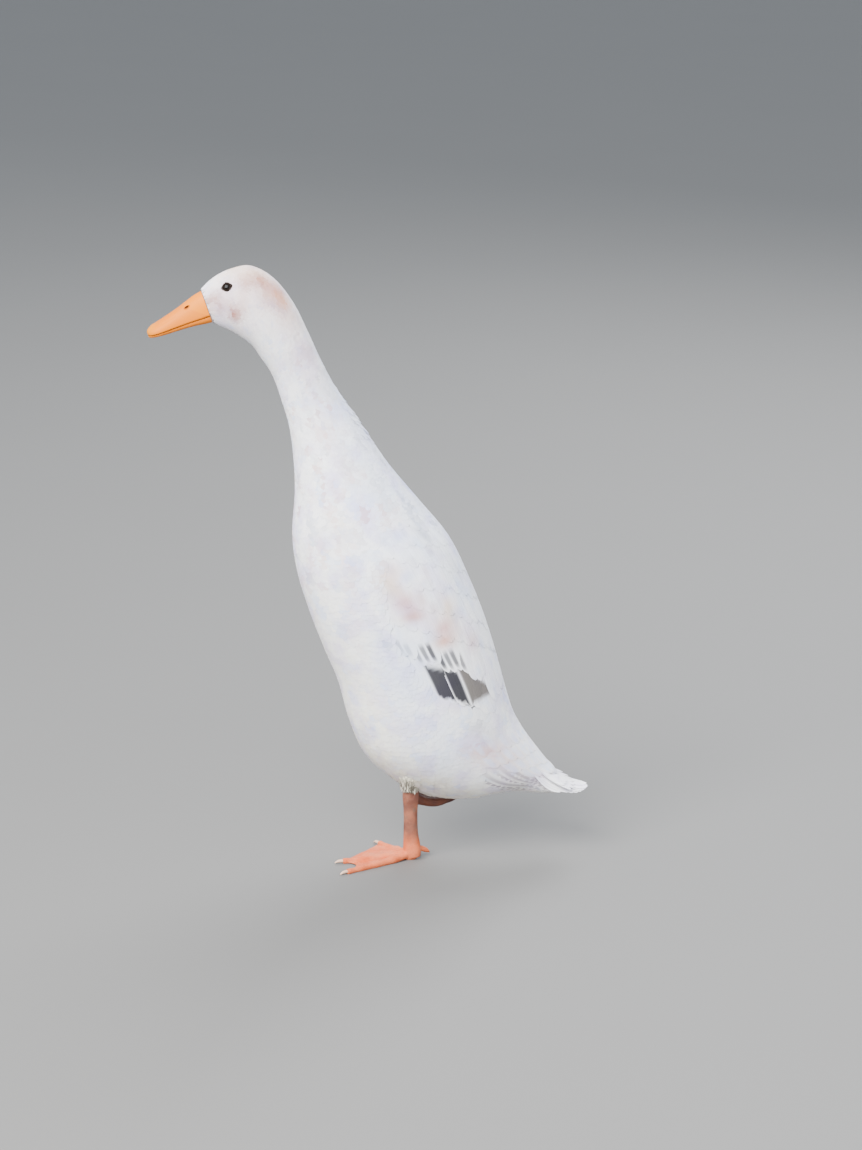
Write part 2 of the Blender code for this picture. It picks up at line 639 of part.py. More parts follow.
def build_toe(toe):
    """A toe with a low knuckle at each joint and a claw."""
    shares = sorted({0.0, 0.14, 1.0, *toe.joints, *(j - JOINT_REACH for j in toe.joints)})
    points, radii = [], []
    for share in shares:
        radius = toe.root + (toe.tip - toe.root) * share
        radius *= KNUCKLE[0] if share in toe.joints else KNUCKLE[1]
        height = radius * (1 - TOE_SINK) + ANKLE_RISE * (1 - share) ** 6
        points.append(sole_point(toe.turn, toe.length * share, height))
        radii.append(radius * MM)
    claw = [sole_point(toe.turn, toe.length + CLAW_LENGTH * share, height) for share, height, _ in CLAW_STATIONS]
    return [tube("toe", points, radii, 1), tube("claw", claw, [radius * MM for _, _, radius in CLAW_STATIONS], 1)]


def build_web(first, second):
    """The web between two toes, with its free edge curved in between their tips."""
    rows, columns = 5, 7
    outer = np.zeros((rows, columns, 3))
    for i, share in enumerate(np.linspace(0.12, 1.0, rows)):
        for j, mix in enumerate(np.linspace(0, 1, columns)):
            reach = 1 - (1 - WEB_NOTCH) * math.sin(math.pi * mix) * share**2
            turn = first.turn + (second.turn - first.turn) * mix
            length = (first.length + (second.length - first.length) * mix) * 0.97 * share * reach
            outer[i, j] = sole_point(turn, length, WEB_HEIGHT)
    rise = np.array([0, 0, WEB_THICKNESS / 2 * MM])
    return slab("web", outer + rise, outer - rise)


def build_standing_foot():
    foot = loft("foot_left", leg_rings(LEGS["left"], ANKLE_STATIONS), LEG_SKIN)
    pieces = [piece for toe in TOES for piece in build_toe(toe)]
    pieces += [build_web(first, second) for first, second in zip(TOES, TOES[1:])]
    pieces.append(ball("pad", [v * MM for v in PAD_SIZE], Matrix.Translation(sole_point(0, 2, 4.0)), None, 12, 6))
    hallux = []
    for behind, inward, height, _ in HALLUX_STATIONS:
        heel = LEGS["left"].foot
        hallux.append(Vector((x_of(heel.x + behind), (heel.y + inward) * MM, height * MM)))
    pieces.append(tube("hallux", hallux, [radius * MM for *_, radius in HALLUX_STATIONS]))
    combine(foot, pieces)
    floor = bmesh.new()
    bmesh.ops.create_cube(floor, size=0.2)
    bmesh.ops.translate(floor, vec=sole_point(0, 0, 0) - Vector((0, 0, 0.1)), verts=floor.verts)
    return combine(foot, [add_object("floor", floor, None)], "DIFFERENCE")


def build_tucked_foot():
    """The right foot, closed, hanging from the belly on what shows of its shank."""
    foot = loft("foot_right", leg_rings(LEGS["right"], ANKLE_STATIONS + STUB_STATIONS), LEG_SKIN)
    toes = []
    for y, scale in FOLDED_TOES_AT:
        start = FOLDED_TOE[0][0]
        points = [Vector((x_of(start + (x - start) * scale), y * MM, z * MM)) for x, z, _ in FOLDED_TOE]
        toes.append(tube("toe", points, [radius * MM for *_, radius in FOLDED_TOE]))
    combine(foot, toes)
    return combine(foot, [build_torso("foot_room", None, GAP)], "DIFFERENCE", "MANIFOLD")


def build_legs():
    """The standing leg's foot, shank and feathered thigh, and the tucked foot."""
    build_standing_foot()
    build_tucked_foot()
    shank = loft("shank_left", leg_rings(LEGS["left"], SHANK_STATIONS), LEG_SKIN)
    combine(shank, [build_torso("shank_room", None, GAP)], "DIFFERENCE")
    thigh = loft("thigh_left", leg_rings(LEGS["left"], THIGH_STATIONS, 18), PLUMAGE)
    combine(thigh, [build_torso("thigh_room", None, GAP)], "DIFFERENCE")


def main():
    clear_scene()
    build_bill()
    build_head()
    body_length("neck_upper", INDEX["neck_top"] - 0.4, INDEX["neck_middle"], 8, 22, PLUMAGE)
    body_length("neck_lower", INDEX["neck_middle"], INDEX["neck_base"] + 0.5, 7, 26, PLUMAGE)
    build_torso("torso", PLUMAGE)
    build_wing("left", -1)
    build_wing("right", 1)
    build_tail()
    build_legs()
    for obj in bpy.data.collections["indian_runner_duck"].objects:
        obj.data.shade_smooth()
        obj.data.set_sharp_from_angle(angle=math.radians(35))


main()
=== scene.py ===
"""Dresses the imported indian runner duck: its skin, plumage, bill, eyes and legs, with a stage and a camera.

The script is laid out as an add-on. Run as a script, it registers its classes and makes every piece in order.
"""

import math
from collections import namedtuple

import bmesh
import bpy
import numpy as np
from bpy.props import FloatProperty, FloatVectorProperty, IntProperty, PointerProperty
from bpy.types import Operator, Panel, PropertyGroup
from mathutils import Matrix, Vector
from mathutils.kdtree import KDTree


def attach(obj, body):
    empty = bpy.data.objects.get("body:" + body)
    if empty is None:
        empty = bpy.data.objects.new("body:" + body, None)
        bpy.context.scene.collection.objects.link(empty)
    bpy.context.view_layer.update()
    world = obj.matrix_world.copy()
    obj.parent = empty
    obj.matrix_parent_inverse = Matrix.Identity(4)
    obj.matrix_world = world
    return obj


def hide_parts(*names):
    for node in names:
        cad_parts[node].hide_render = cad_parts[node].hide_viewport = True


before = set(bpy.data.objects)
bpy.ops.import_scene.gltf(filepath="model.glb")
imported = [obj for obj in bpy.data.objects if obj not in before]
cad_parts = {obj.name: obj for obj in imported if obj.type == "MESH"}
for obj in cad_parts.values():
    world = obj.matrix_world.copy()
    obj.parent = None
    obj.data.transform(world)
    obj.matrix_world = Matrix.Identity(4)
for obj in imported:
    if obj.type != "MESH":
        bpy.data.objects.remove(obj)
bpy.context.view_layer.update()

bl_info = {
    "name": "Indian runner duck",
    "version": (1, 0, 0),
    "blender": (4, 5, 0),
    "location": "View3D > Sidebar > Duck",
    "description": "Plumage, bill, eyes and legs of a still, life-size indian runner duck",
    "category": "Object",
}

MM = 0.001
ORIGIN_X = -36.2
SIDES = (("left", -1), ("right", 1))

# The duck's outline by station, as in the solids, in mm: x and z of the back, x and z of the belly, half
# width, and how much fuller it is towards the back
STATIONS = (
    (-192.4, 537.2, -181.8, 507.0, 12.6, -0.05),
    (-181.0, 547.5, -172.0, 502.5, 16.0, -0.10),
    (-166.0, 555.0, -163.0, 498.0, 19.0, -0.14),
    (-148.0, 557.5, -154.0, 492.0, 21.3, -0.12),
    (-128.0, 546.5, -146.0, 485.0, 21.6, -0.06),
    (-110.5, 524.5, -139.0, 474.5, 20.2, 0.0),
    (-97.5, 498.5, -132.0, 464.5, 18.6, 0.0),
    (-86.5, 474.5, -126.0, 452.0, 17.6, 0.0),
    (-74.0, 450.5, -120.0, 433.5, 18.4, 0.0),
    (-59.0, 428.0, -114.0, 413.5, 21.5, 0.0),
    (-42.0, 403.0, -110.0, 387.0, 27.5, 0.02),
    (-22.0, 374.0, -108.0, 351.5, 37.0, 0.04),
    (5.0, 341.5, -110.0, 309.5, 48.5, 0.04),
    (33.0, 307.0, -105.0, 274.5, 57.0, 0.02),
    (52.0, 268.5, -94.0, 238.5, 61.0, 0.0),
    (67.0, 231.5, -81.0, 204.5, 62.5, 0.0),
    (79.0, 194.5, -67.0, 170.5, 62.5, -0.02),
    (88.0, 163.0, -57.0, 134.5, 61.0, -0.04),
    (95.5, 140.0, -43.0, 102.0, 57.5, -0.05),
    (103.5, 124.5, -19.0, 78.5, 51.5, -0.04),
    (112.0, 112.0, 10.0, 62.0, 44.0, 0.0),
    (120.5, 100.5, 42.0, 55.5, 35.0, 0.05),
    (128.5, 90.0, 70.0, 58.0, 26.5, 0.10),
    (136.5, 81.5, 93.0, 60.0, 20.0, 0.15),
    (144.0, 68.0, 117.0, 58.5, 17.0, 0.15),
    (153.0, 62.5, 139.0, 57.5, 13.0, 0.15),
)
LAST = len(STATIONS) - 1
# The bed that a folded wing lies in: its depth, where along the body it starts and ends, and its edge
BED_DEPTH = 5.5 * MM
BED_SPAN = (11.3, 12.9, 17.2, 18.9)
BED_EDGE = (math.radians(98), math.radians(128))

# The coat by station: depth over the skin, distance between feathers, and how far their tips stand out
COAT = (
    (0.0, 0.35, 1.45, 0.03),
    (2.0, 0.35, 1.6, 0.03),
    (5.0, 0.40, 2.0, 0.04),
    (8.0, 0.50, 2.6, 0.08),
    (10.5, 0.55, 3.2, 0.08),
    (13.0, 0.55, 4.0, 0.07),
    (17.0, 0.60, 4.3, 0.08),
    (20.0, 0.80, 4.3, 0.14),
    (22.5, 0.80, 4.0, 0.14),
    (25.0, 0.80, 3.6, 0.12),
)
SKIN_SINK = 0.8  # mm from the roots of the coat down to the skin
SKIN_END = LAST - 0.5
SKIN_VOXEL = 1.6 * MM
LEG_VOXEL = 0.55 * MM
FUSED_SMOOTHING = 2
RING_STEPS = 120
COAT_VARIES = (0.85, 1.15)
COLOUR_STRAY = 0.06
# Where the coat stands out, by station: the flank's feathers, the belly's fluff and the ruffled nape
FLANK_SPAN = (11.5, 13.0, 17.5, 19.0)
FLANK_MIDDLE, FLANK_REACH = 105, 22
FLUFF_SPAN = (17.5, 19.5, 21.5, 23.0)
FLUFF_ANGLES = (1.9, 2.4)
NAPE_SPAN = (7.4, 8.2, 9.4, 10.2)
NAPE_ANGLE = 0.45

# Blades of feathers: cells across and along, where the root's taper ends, width at the tip as a share, how
# far the tip's points stray, thickness, and a seed for each variant
Blade = namedtuple("Blade", "columns rows taper tip ragged thickness seeds")
SMALL_BLADE = Blade(2, 4, 0.5, 0.30, 0.05, 0.0, range(3))
LARGE_BLADE = Blade(4, 6, 0.5, 0.34, 0.045, 0.0, range(6))
LEG_BLADE = Blade(2, 8, 0.4, 0.05, 0.10, 0.0, range(20, 26))
WING_BLADE = Blade(14, 22, 0.35, 0.14, 0.012, 0.05 * MM, range(60, 64))
TAIL_BLADE = Blade(12, 22, 0.35, 0.16, 0.008, 0.12 * MM, range(80, 84))
# Their materials: barbs along a feather, their slant, their relief in metres, painted shade between barbs,
# painted lilac shade
FEATHER_LOOKS = {
    "head_plumage": (14.0, 3.0, 0.00004, 0.03, 0.14),
    "body_plumage": (22.0, 7.0, 0.00004, 0.03, 0.20),
    "leg_plumage": (16.0, 5.0, 0.00007, 0.04, 0.06),
    "wing_plumage": (46.0, 16.0, 0.00007, 0.04, 0.14),
    "tail_plumage": (46.0, 16.0, 0.00007, 0.04, 0.14),
}
# The pieces of the coat: the stations from and to, the blade and the material
COAT_PIECES = (
    ("coat_head", 0.0, 5.2, SMALL_BLADE, "head_plumage"),
    ("coat_neck", 5.2, 10.2, SMALL_BLADE, "head_plumage"),
    ("coat_breast", 10.2, 14.2, LARGE_BLADE, "body_plumage"),
    ("coat_belly", 14.2, 18.2, LARGE_BLADE, "body_plumage"),
    ("coat_rump", 18.2, 24.0, LARGE_BLADE, "body_plumage"),
)

# Feather rows of a folded wing: tips of the outer feathers as station and angle from the back, length in
# stations, width in mm, tier and drift of the roots in degrees.
Row = namedtuple("Row", "name count first last length width tier drift")
WING_ROWS = (
    Row("primaries", 4, (17.8, 34), (18.2, 19), 2.0, 11.5, 0.0, 6),
    Row("secondaries", 9, (16.2, 91), (17.35, 41), 1.9, 15.0, 0.3, 6),
    Row("greater_coverts", 15, (14.80, 110), (16.35, 41), 1.5, 12.0, 0.8, 4),
    Row("median_coverts", 10, (14.1, 106), (15.4, 38), 1.4, 14.0, 1.0, 3),
    Row("lesser_coverts", 10, (13.55, 103), (14.75, 37), 1.25, 14.0, 1.1, 2),
    Row("lesser_coverts", 9, (13.1, 99), (14.15, 36), 1.15, 14.0, 1.15, 2),
    Row("lesser_coverts", 9, (12.7, 92), (13.55, 35), 1.05, 13.5, 1.15, 1),
    Row("marginal_coverts", 8, (12.35, 84), (12.95, 34), 0.9, 12.5, 1.1, 1),
    Row("marginal_coverts", 6, (12.0, 72), (12.45, 34), 0.8, 11.5, 1.0, 0),
    Row("tertials", 4, (17.15, 35), (16.7, 12), 2.4, 16.0, 1.2, 2),
    Row("scapulars", 4, (15.6, 30), (15.95, 8), 1.8, 15.5, 1.7, 2),
    Row("scapulars", 4, (14.9, 29), (15.2, 7), 1.6, 15.0, 1.8, 2),
    Row("scapulars", 4, (14.25, 28), (14.5, 6), 1.5, 14.5, 1.8, 2),
    Row("scapulars", 4, (13.6, 27), (13.8, 7), 1.35, 14.0, 1.7, 2),
    Row("scapulars", 3, (13.0, 25), (13.15, 9), 1.2, 13.5, 1.5, 2),
)
WING_SLANT = 3.4  # degrees that the feathers climb to the back in a station
# The two dark patches over the secondaries, along lines that climb as the feathers do: the lines from and to
# in degrees, then for the patch's top and for its end a line, the station there, and the stations per degree
Mark = namedtuple("Mark", "lines top end")
SLATE_MARK = Mark((64, 84.5), (81, 15.48, 0.0158), (84, 16.32, 0.0267))
TAUPE_MARK = Mark((42.0, 62.3), (62, 15.55, 0.047), (0, 16.84, 0.0))
MARK_SOFT = 1.2
# The row of grey marks on the greater coverts: its angles, and the angles between which it turns from slate
GREY_MARKS = (56, 116)
GREY_FROM, SLATE_UP_TO = 92, 84
# Lifts of a long feather's root and tip in mm, and what each tier adds
LONG_LIFTS = (-0.85, -0.25)
TIER_STEP = 0.18
# The area under a wing, where no body feathers grow: station, upper and lower angle
WING_COVER = (
    (12.0, 40, 66),
    (12.6, 22, 84),
    (13.2, 15, 94),
    (14.0, 9, 101),
    (14.8, 8, 103),
    (15.35, 8, 97),
    (15.95, 9, 89),
    (16.4, 11, 79),
    (16.8, 16, 65),
    (17.1, 21, 50),
    (17.45, 24, 32),
)
# The rows of long feathers over the rump and the tail's sides, as the wing's rows are given
TAIL_ROWS = (
    Row("rectrices", 12, (24.2, 121), (25.2, 44), 6.7, 11.5, 0.0, -28),
    Row("tail_coverts", 6, (22.4, 58), (23.4, 14), 3.6, 14.0, 0.5, -14),
    Row("tail_coverts", 6, (21.0, 62), (22.2, 12), 3.0, 14.0, 0.9, -10),
    Row("rump", 7, (19.9, 70), (20.9, 14), 2.4, 13.5, 1.2, -6),
    Row("rump", 7, (18.9, 80), (19.8, 10), 2.2, 13.0, 1.3, -5),
)
# The area under the tail's rows: station, and the lower angle
TAIL_COVER = ((18.3, 24), (18.6, 62), (19.2, 83), (20.0, 98), (21.0, 108), (22.0, 115), (23.5, 123),
              (25.0, 128))

# The tail's fan lies on a roof whose ridge drops and flattens towards the tip.
TAIL_PAIRS = 7
TAIL_TIP = (168.0, 63.0)
TAIL_RISE = (0.12, 0.0095)
TAIL_SLOPE = (0.50, 0.12)
TAIL_SLOPE_ENDS = (118.0, 146.0)
TAIL_RIDGE = 6.0
TAIL_STEP = 0.8
TAIL_ROOT_X = 104.0
TAIL_PULL = (1.6, 0.5)
TAIL_ROOT_SPREAD = (1.5, 2.0)
TAIL_TIP_SPREAD = (3.0, 3.3)
TAIL_WIDTH = (23.0, 0.9)  # of the middle pair, and what each further pair loses
# The coverts on the fan: length, width, how close their roots are, how far their tips curve back, and lifts
COVERT_LENGTH, COVERT_WIDTH = 38.0, 9.5
COVERT_GATHER, COVERT_CURVE = 0.55, 0.012
COVERT_LIFT = (0.5, 0.45)
# Their tiers: reach along x, count and spread of the tips
TAIL_COVERT_TIERS = ((156.0, 7, 24.0), (149.0, 8, 22.0), (141.0, 9, 20.0), (133.0, 9, 18.0))

# The bill, in its own frame: from the gape along the line of the mouth, and up from there
GAPE = (-186.0, 514.5)
BILL_DROP = math.radians(19.3)
BILL_STATIONS = (
    (-1.2, 21.6, 12.0, 7.0),
    (6.0, 20.2, 11.6, 6.2),
    (13.0, 18.0, 10.9, 5.2),
    (22.0, 15.0, 10.4, 4.4),
    (31.0, 12.3, 10.8, 3.9),
    (40.0, 9.9, 11.4, 3.5),
    (46.5, 8.2, 11.2, 3.0),
    (51.0, 6.6, 9.6, 2.5),
    (54.0, 5.0, 6.8, 2.0),
    (55.6, 3.4, 3.6, 1.4),
    (56.1, 1.8, 1.4, 0.8),
)
DOME_SHARE = 0.8  # of a section of the upper mandible, the rest being its underside
NAIL_START, NAIL_SIDES, NAIL_RISE = (46.5, 49.5), (3.2, 4.6), 0.55
GROOVE_START, GROOVE_END, GROOVE_DEPTH = (8, 16), (40, 48), 0.35
NOSTRIL = (15.5, 13.4)
NOSTRIL_SIZE = (2.8, 1.3)
NOSTRIL_TURN = -math.radians(14)
NOSTRIL_DEPTH = 2.6

EYE_AT = (-170.5, 541.5)
EYE_RADIUS = 5.9
EYE_SINK = 4.3
PUPIL_EDGE, IRIS_EDGE = (0.34, 0.40), (0.58, 0.66)  # shares of the radius
LID_SIZE = (4.1, 3.15)
LID_SLANT = Vector((1.0, 0.0, 0.25))
LID_RADIUS = 0.5
LID_CORNER = 0.7
LID_LIFT = 0.1

Leg = namedtuple("Leg", "foot up ahead")
LEGS = {
    "left": Leg(Vector((2.2, -14.5, 0.0)), Vector((0.0, -0.105, 0.994)), Vector((-1.0, 0.0, 0.0))),
    "right": Leg(Vector((0.0, 16.0, 54.0)), Vector((0.600, 0.080, 0.796)), Vector((0.799, 0.0, -0.602))),
}
# distance up the leg, shift towards the toes, half depth and half width
SHANK_STATIONS = (
    (3.0, 0.0, 8.0, 6.5),
    (8.0, 0.2, 8.6, 6.9),
    (13.0, 0.5, 8.0, 6.2),
    (18.0, 1.0, 7.6, 5.4),
    (26.0, 1.8, 6.9, 4.8),
    (38.0, 2.4, 6.5, 4.6),
    (50.0, 2.8, 6.6, 4.7),
    (58.0, 3.0, 7.1, 5.4),
    (65.0, 3.1, 7.6, 6.1),
    (84.0, 3.2, 7.0, 5.6),
)
STUB_ROWS = 6  # the rows of the shank that the tucked foot keeps, up into the belly
THIGH_STATIONS = (
    (73.3, 3.2, 8.6, 7.2),
    (77.0, 3.0, 9.8, 8.6),
    (82.0, 1.6, 13.0, 11.0),
    (89.0, -1.5, 19.0, 15.0),
    (103.0, -6.0, 27.0, 17.0),
)
THIGH_SINK = 2.5  # mm from the feathers of the thigh down to its skin
# What the feathers at the top of each leg lie on, from their lowest tips up, and how many grow in a ring
TUCKED_THIGH = ((11.0, 0.4, 8.8, 7.0), (16.0, 0.8, 9.4, 7.6), (23.0, 1.6, 11.5, 9.5), (32.0, 2.0, 14.0, 12.0))
CUFFS = {
    "left": (((69.0, 3.1, 8.2, 6.8), *THIGH_STATIONS), 56),
    "right": (TUCKED_THIGH, 24),
}
CUFF_LENGTH = (9.0, 18.0)
CUFF_WIDTH = (0.6, 1.5)
CUFF_SEED = 61
Toe = namedtuple("Toe", "turn length root tip joints")
TOES = (
    Toe(math.radians(54), 45.0, 4.0, 2.4, (0.45, 0.97)),
    Toe(math.radians(-6.3), 66.0, 4.6, 2.5, (0.38, 0.7, 0.97)),
    Toe(math.radians(-27.8), 73.0, 4.3, 2.4, (0.3, 0.55, 0.78, 0.97)),
)
TOE_SINK = 0.35
RIDGE_PITCH = 2.6
ANKLE_RISE = 5.0
CLAW_STATIONS = ((-0.3, 2.0, 1.6), (0.4, 2.3, 1.45), (0.75, 1.7, 1.0), (1.0, 0.75, 0.4))
CLAW_LENGTH = 7.5
WEB_HEIGHT = 1.3
WEB_HALF = 0.55
WEB_NOTCH = 0.84
WEB_CELLS = (30, 40)
# The pad under the ankle: distances ahead of the heel, radii and height
PAD = ((-5.5, 2.5), (-2.0, 5.5), (2.0, 6.5), (6.0, 5.5), (10.0, 2.5))
PAD_HEIGHT = 4.2
HALLUX_STATIONS = ((4.0, 2.0, 9.5, 2.6), (9.2, 3.0, 8.2, 2.7), (13.8, 4.0, 6.0, 2.2), (17.0, 4.6, 3.6, 0.6))
FOLDED_TOE = ((4.0, 55.0, 4.8), (8.5, 50.0, 5.0), (18.0, 47.0, 4.4), (29.0, 45.5, 4.4),
              (39.0, 46.0, 3.6), (46.0, 48.0, 2.4), (50.0, 50.5, 0.8))
FOLDED_TOES_AT = ((10.5, 0.82), (16.0, 1.0), (21.5, 0.92))

# Colours, linear
WHITE = (0.85, 0.845, 0.85)
SHADE_LILAC = (0.58, 0.66, 0.84)
# painted shade: the cool lilac that the white feathers take where they lie in shade
ROSE = (0.30, 0.13, 0.10)
CREAM = (0.80, 0.75, 0.60)
FAWN = (0.52, 0.22, 0.10)
BEIGE = (0.58, 0.40, 0.26)
PINK = (0.56, 0.33, 0.32)
GREY = (0.27, 0.30, 0.38)
BELLY_TAN = (0.42, 0.36, 0.27)
SLATE = (0.036, 0.035, 0.041)
TAUPE = (0.088, 0.072, 0.058)
WEB = (0.22, 0.17, 0.21)
MUD = (0.040, 0.026, 0.015)
PUPIL = (0.002, 0.002, 0.002)
IRIS = (0.011, 0.007, 0.005)
EYE_RIM = (0.012, 0.008, 0.006)

# Soft patches on the left side: station, angle, reach in stations and in degrees, colour and strength
Patch = namedtuple("Patch", "station angle along around colour strength")
PATCHES = [Patch(*row) for row in (
    (1.66, 55.5, 0.17, 8, SLATE, 0.85),
    (2.6, 60, 2.4, 90, PINK, 0.40),
    (3.4, 44, 1.3, 34, ROSE, 0.85),
    (4.5, 42, 0.8, 26, FAWN, 0.80),
    (2.6, 12, 1.1, 30, BEIGE, 0.60),
    (2.1, 102, 0.75, 25, ROSE, 0.95),
    (0.8, 80, 0.6, 36, ROSE, 0.90),
    (6.6, 60, 1.3, 40, PINK, 0.45),
    (9.4, 88, 0.5, 22, PINK, 0.40),
    (10.6, 84, 0.5, 16, PINK, 0.25),
    (8.2, 75, 0.5, 30, GREY, 0.12),
    # painted shade: a cool grey over the front of the neck
    (6.6, 110, 1.6, 60, GREY, 0.14),
    (9.6, 40, 0.5, 14, GREY, 0.12),
    (10.3, 70, 0.3, 12, GREY, 0.16),
    (11.6, 59, 0.22, 8, GREY, 0.30),
    (11.2, 42, 0.16, 6, GREY, 0.30),
    (11.9, 31, 0.14, 5, GREY, 0.50),
    (12.2, 38, 0.20, 5, GREY, 0.60),
    (12.5, 43, 0.18, 5, GREY, 0.45),
    (11.9, 104, 0.4, 14, BEIGE, 0.30),
    (10.9, 60, 0.4, 20, GREY, 0.14),
    (13.06, 83, 0.22, 7, FAWN, 0.60),
    (13.4, 88, 0.30, 6, BEIGE, 0.60),
    (13.88, 82, 0.36, 10, PINK, 0.95),
    (14.20, 80, 0.12, 8, FAWN, 0.85),
    (14.98, 66, 0.18, 8, FAWN, 0.95),
    (14.66, 62, 0.34, 11, PINK, 0.95),
    (14.30, 54, 0.35, 6, BEIGE, 0.75),
    (15.2, 44, 0.30, 8, PINK, 0.55),
    (14.80, 106.0, 0.13, 1.1, GREY, 0.85),
    (14.90, 102.5, 0.14, 1.2, GREY, 0.90),
    (15.02, 98.5, 0.13, 1.2, GREY, 0.95),
    (15.12, 95.0, 0.15, 1.2, GREY, 0.95),
    # painted lilac shade round the grey marks and over the lower belly
    (15.2, 98, 0.9, 20, SHADE_LILAC, 0.75),
    (16.4, 108, 1.3, 22, SHADE_LILAC, 0.45),
    (18.4, 92, 1.1, 26, SHADE_LILAC, 0.55),
    (17.7, 62, 0.30, 9, GREY, 0.40),
    (18.3, 52, 0.35, 12, GREY, 0.30),
    (18.9, 68, 0.7, 16, PINK, 0.70),
    (19.9, 56, 1.0, 20, PINK, 0.45),
    (22.0, 66, 1.4, 26, PINK, 0.30),
    # a grey-tan under the rear of the belly
    (19.6, 128, 0.9, 24, BELLY_TAN, 0.45),
    (18.2, 160, 0.9, 26, BELLY_TAN, 0.35),
)]

# The stage: each light's place, size and colour, the sky, and the photo's camera, in metres, degrees and
# pixels
LIGHTS = (
    ("key", (-1.5, -1.9, 2.4), 2.6, (1.0, 0.995, 0.985)),
    ("fill", (1.7, -2.2, 1.2), 2.0, (0.93, 0.96, 1.0)),
    ("back", (1.2, 1.8, 2.0), 1.6, (0.95, 0.97, 1.0)),
)
LIGHT_TARGET = Vector((0.0, 0.0, 0.28))
SKY_COLOUR = (0.82, 0.90, 1.0, 1.0)
CAMERA_AT = (-0.33974, -2.79717, 1.09612)
CAMERA_ANGLES = (-8, 16.3, 1.07)  # round from the side, above the level, and roll
CAMERA_FOCUS = 3224.0
PHOTO_HEIGHT = 1150.0
SENSOR = 36.0

STREAKS = np.random.default_rng(5).normal(size=(18, 420))  # a silky grain: along the body and round it
MOTTLES = np.random.default_rng(8).normal(size=(3, 84, 60))  # soft spots of grey, of pink and of painted lilac shade


def x_of(x_mm):
    """A length of the tables above in mm, as a place in the frame."""
    return (x_mm - ORIGIN_X) * MM


def smooth_step(value, start, end):
    share = np.clip((np.asarray(value, float) - start) / (end - start), 0, 1)
    return share * share * (3 - 2 * share)


def rise_and_fall(value, span):
    """0, then 1, then 0 again, with smooth steps where the four values of a span say."""
    return smooth_step(value, *span[:2]) * (1 - smooth_step(value, *span[2:]))


def band(value, start, end, soft):
    """1 between start and end, with soft edges."""
    return rise_and_fall(value, (start - soft, start + soft, end - soft, end + soft))


def outline_rows():
    """The stations' rows in metres, with x as a place in the frame."""
    rows = np.array(STATIONS)
    rows[:, (0, 2)] = x_of(rows[:, (0, 2)])
    rows[:, (1, 3, 4)] *= MM
    return rows


ROWS = outline_rows()


def smooth_row(table, s):
    """The row of a table between its rows, on a smooth curve through them."""
    last = len(table) - 1
    i = np.clip(np.floor(s).astype(int), 0, last - 1)
    f = (s - i)[:, None]
    before, start = table[np.maximum(i - 1, 0)], table[i]
    end, after = table[i + 1], table[np.minimum(i + 2, last)]
    slope = 0.5 * (end - before)
    bend = before - 2.5 * start + 2 * end - 0.5 * after
    twist = 1.5 * (start - end) + 0.5 * (after - before)
    return start + f * (slope + f * (bend + f * twist))


def outline(s, phi, lift=0.0):
    """Points of the duck's outline. s counts stations, phi is the angle from the back round to the belly,
    positive on the right side, and lift is the distance outwards."""
    s, phi, lift = np.broadcast_arrays(np.asarray(s, float), phi, lift)
    shape = s.shape
    s, phi, lift = s.ravel(), phi.ravel(), lift.ravel()
    row = smooth_row(ROWS, s)
    back, belly = row[:, 0:2], row[:, 2:4]
    centre = (back + belly) / 2
    depth = np.linalg.norm(back - belly, axis=1) / 2
    up = (back - centre) / depth[:, None]
    width = row[:, 4]
    cos, sin = np.cos(phi), np.sin(phi)
    normal = np.stack([cos / depth, sin / width], axis=1)
    normal /= np.linalg.norm(normal, axis=1)[:, None]
    rise = depth * cos + lift * normal[:, 0]
    side = width * sin * (1 + row[:, 5] * cos) + lift * normal[:, 1]
    points = np.stack([centre[:, 0] + up[:, 0] * rise, side, centre[:, 1] + up[:, 1] * rise], axis=1)
    return points.reshape(*shape, 3)


def bed(s, phi):
    """How deep the wing's bed is at a place on the body."""
    return BED_DEPTH * rise_and_fall(s, BED_SPAN) * (1 - smooth_step(np.abs(phi), *BED_EDGE))


def coat_at(s):
    """The coat's depth, spacing and stand at a station, in mm."""
    stations, *columns = np.array(COAT).T
    return [np.interp(s, stations, column) for column in columns]


def stretch(place, s, phi):
    """Metres for each station and for each radian at places on a surface."""
    step = 0.02
    along = np.linalg.norm(place(s + step, phi) - place(s - step, phi), axis=-1) / (2 * step)
    around = np.linalg.norm(place(s, phi + step) - place(s, phi - step), axis=-1) / (2 * step)
    return along, around


def uneven(s, phi, seed=0.0):
    """A slow wave between -1 and 1 over the body, to break up edges and colours."""
    first = np.sin(s * 5.1 + seed + 1.7 * np.sin(phi * 3.0 + seed))
    second = np.sin(phi * 7.3 - s * 2.9 + 2.0 * seed)
    third = np.sin(s * 13.7 + phi * 11.9 + 3.0 * seed)
    return (first + second + 0.7 * third) / 2.7


def grain_at(table, s, phi):
    """A grain at places on the body, about -2 to 2, from a table of rows down it and columns round it."""
    row = np.clip(np.asarray(s) / LAST, 0, 0.999) * (table.shape[0] - 1)
    column = (np.asarray(phi) / math.tau + 0.5) % 1.0 * (table.shape[1] - 1)
    i, j = np.floor(row).astype(int), np.floor(column).astype(int)
    down, round_it = smooth_step(row - i, 0, 1), smooth_step(column - j, 0, 1)
    first = table[i, j] * (1 - round_it) + table[i, j + 1] * round_it
    second = table[i + 1, j] * (1 - round_it) + table[i + 1, j + 1] * round_it
    return first * (1 - down) + second * down


def blend_colour(base, colour, share):
    return base + (np.array(colour) - base) * share[..., None]


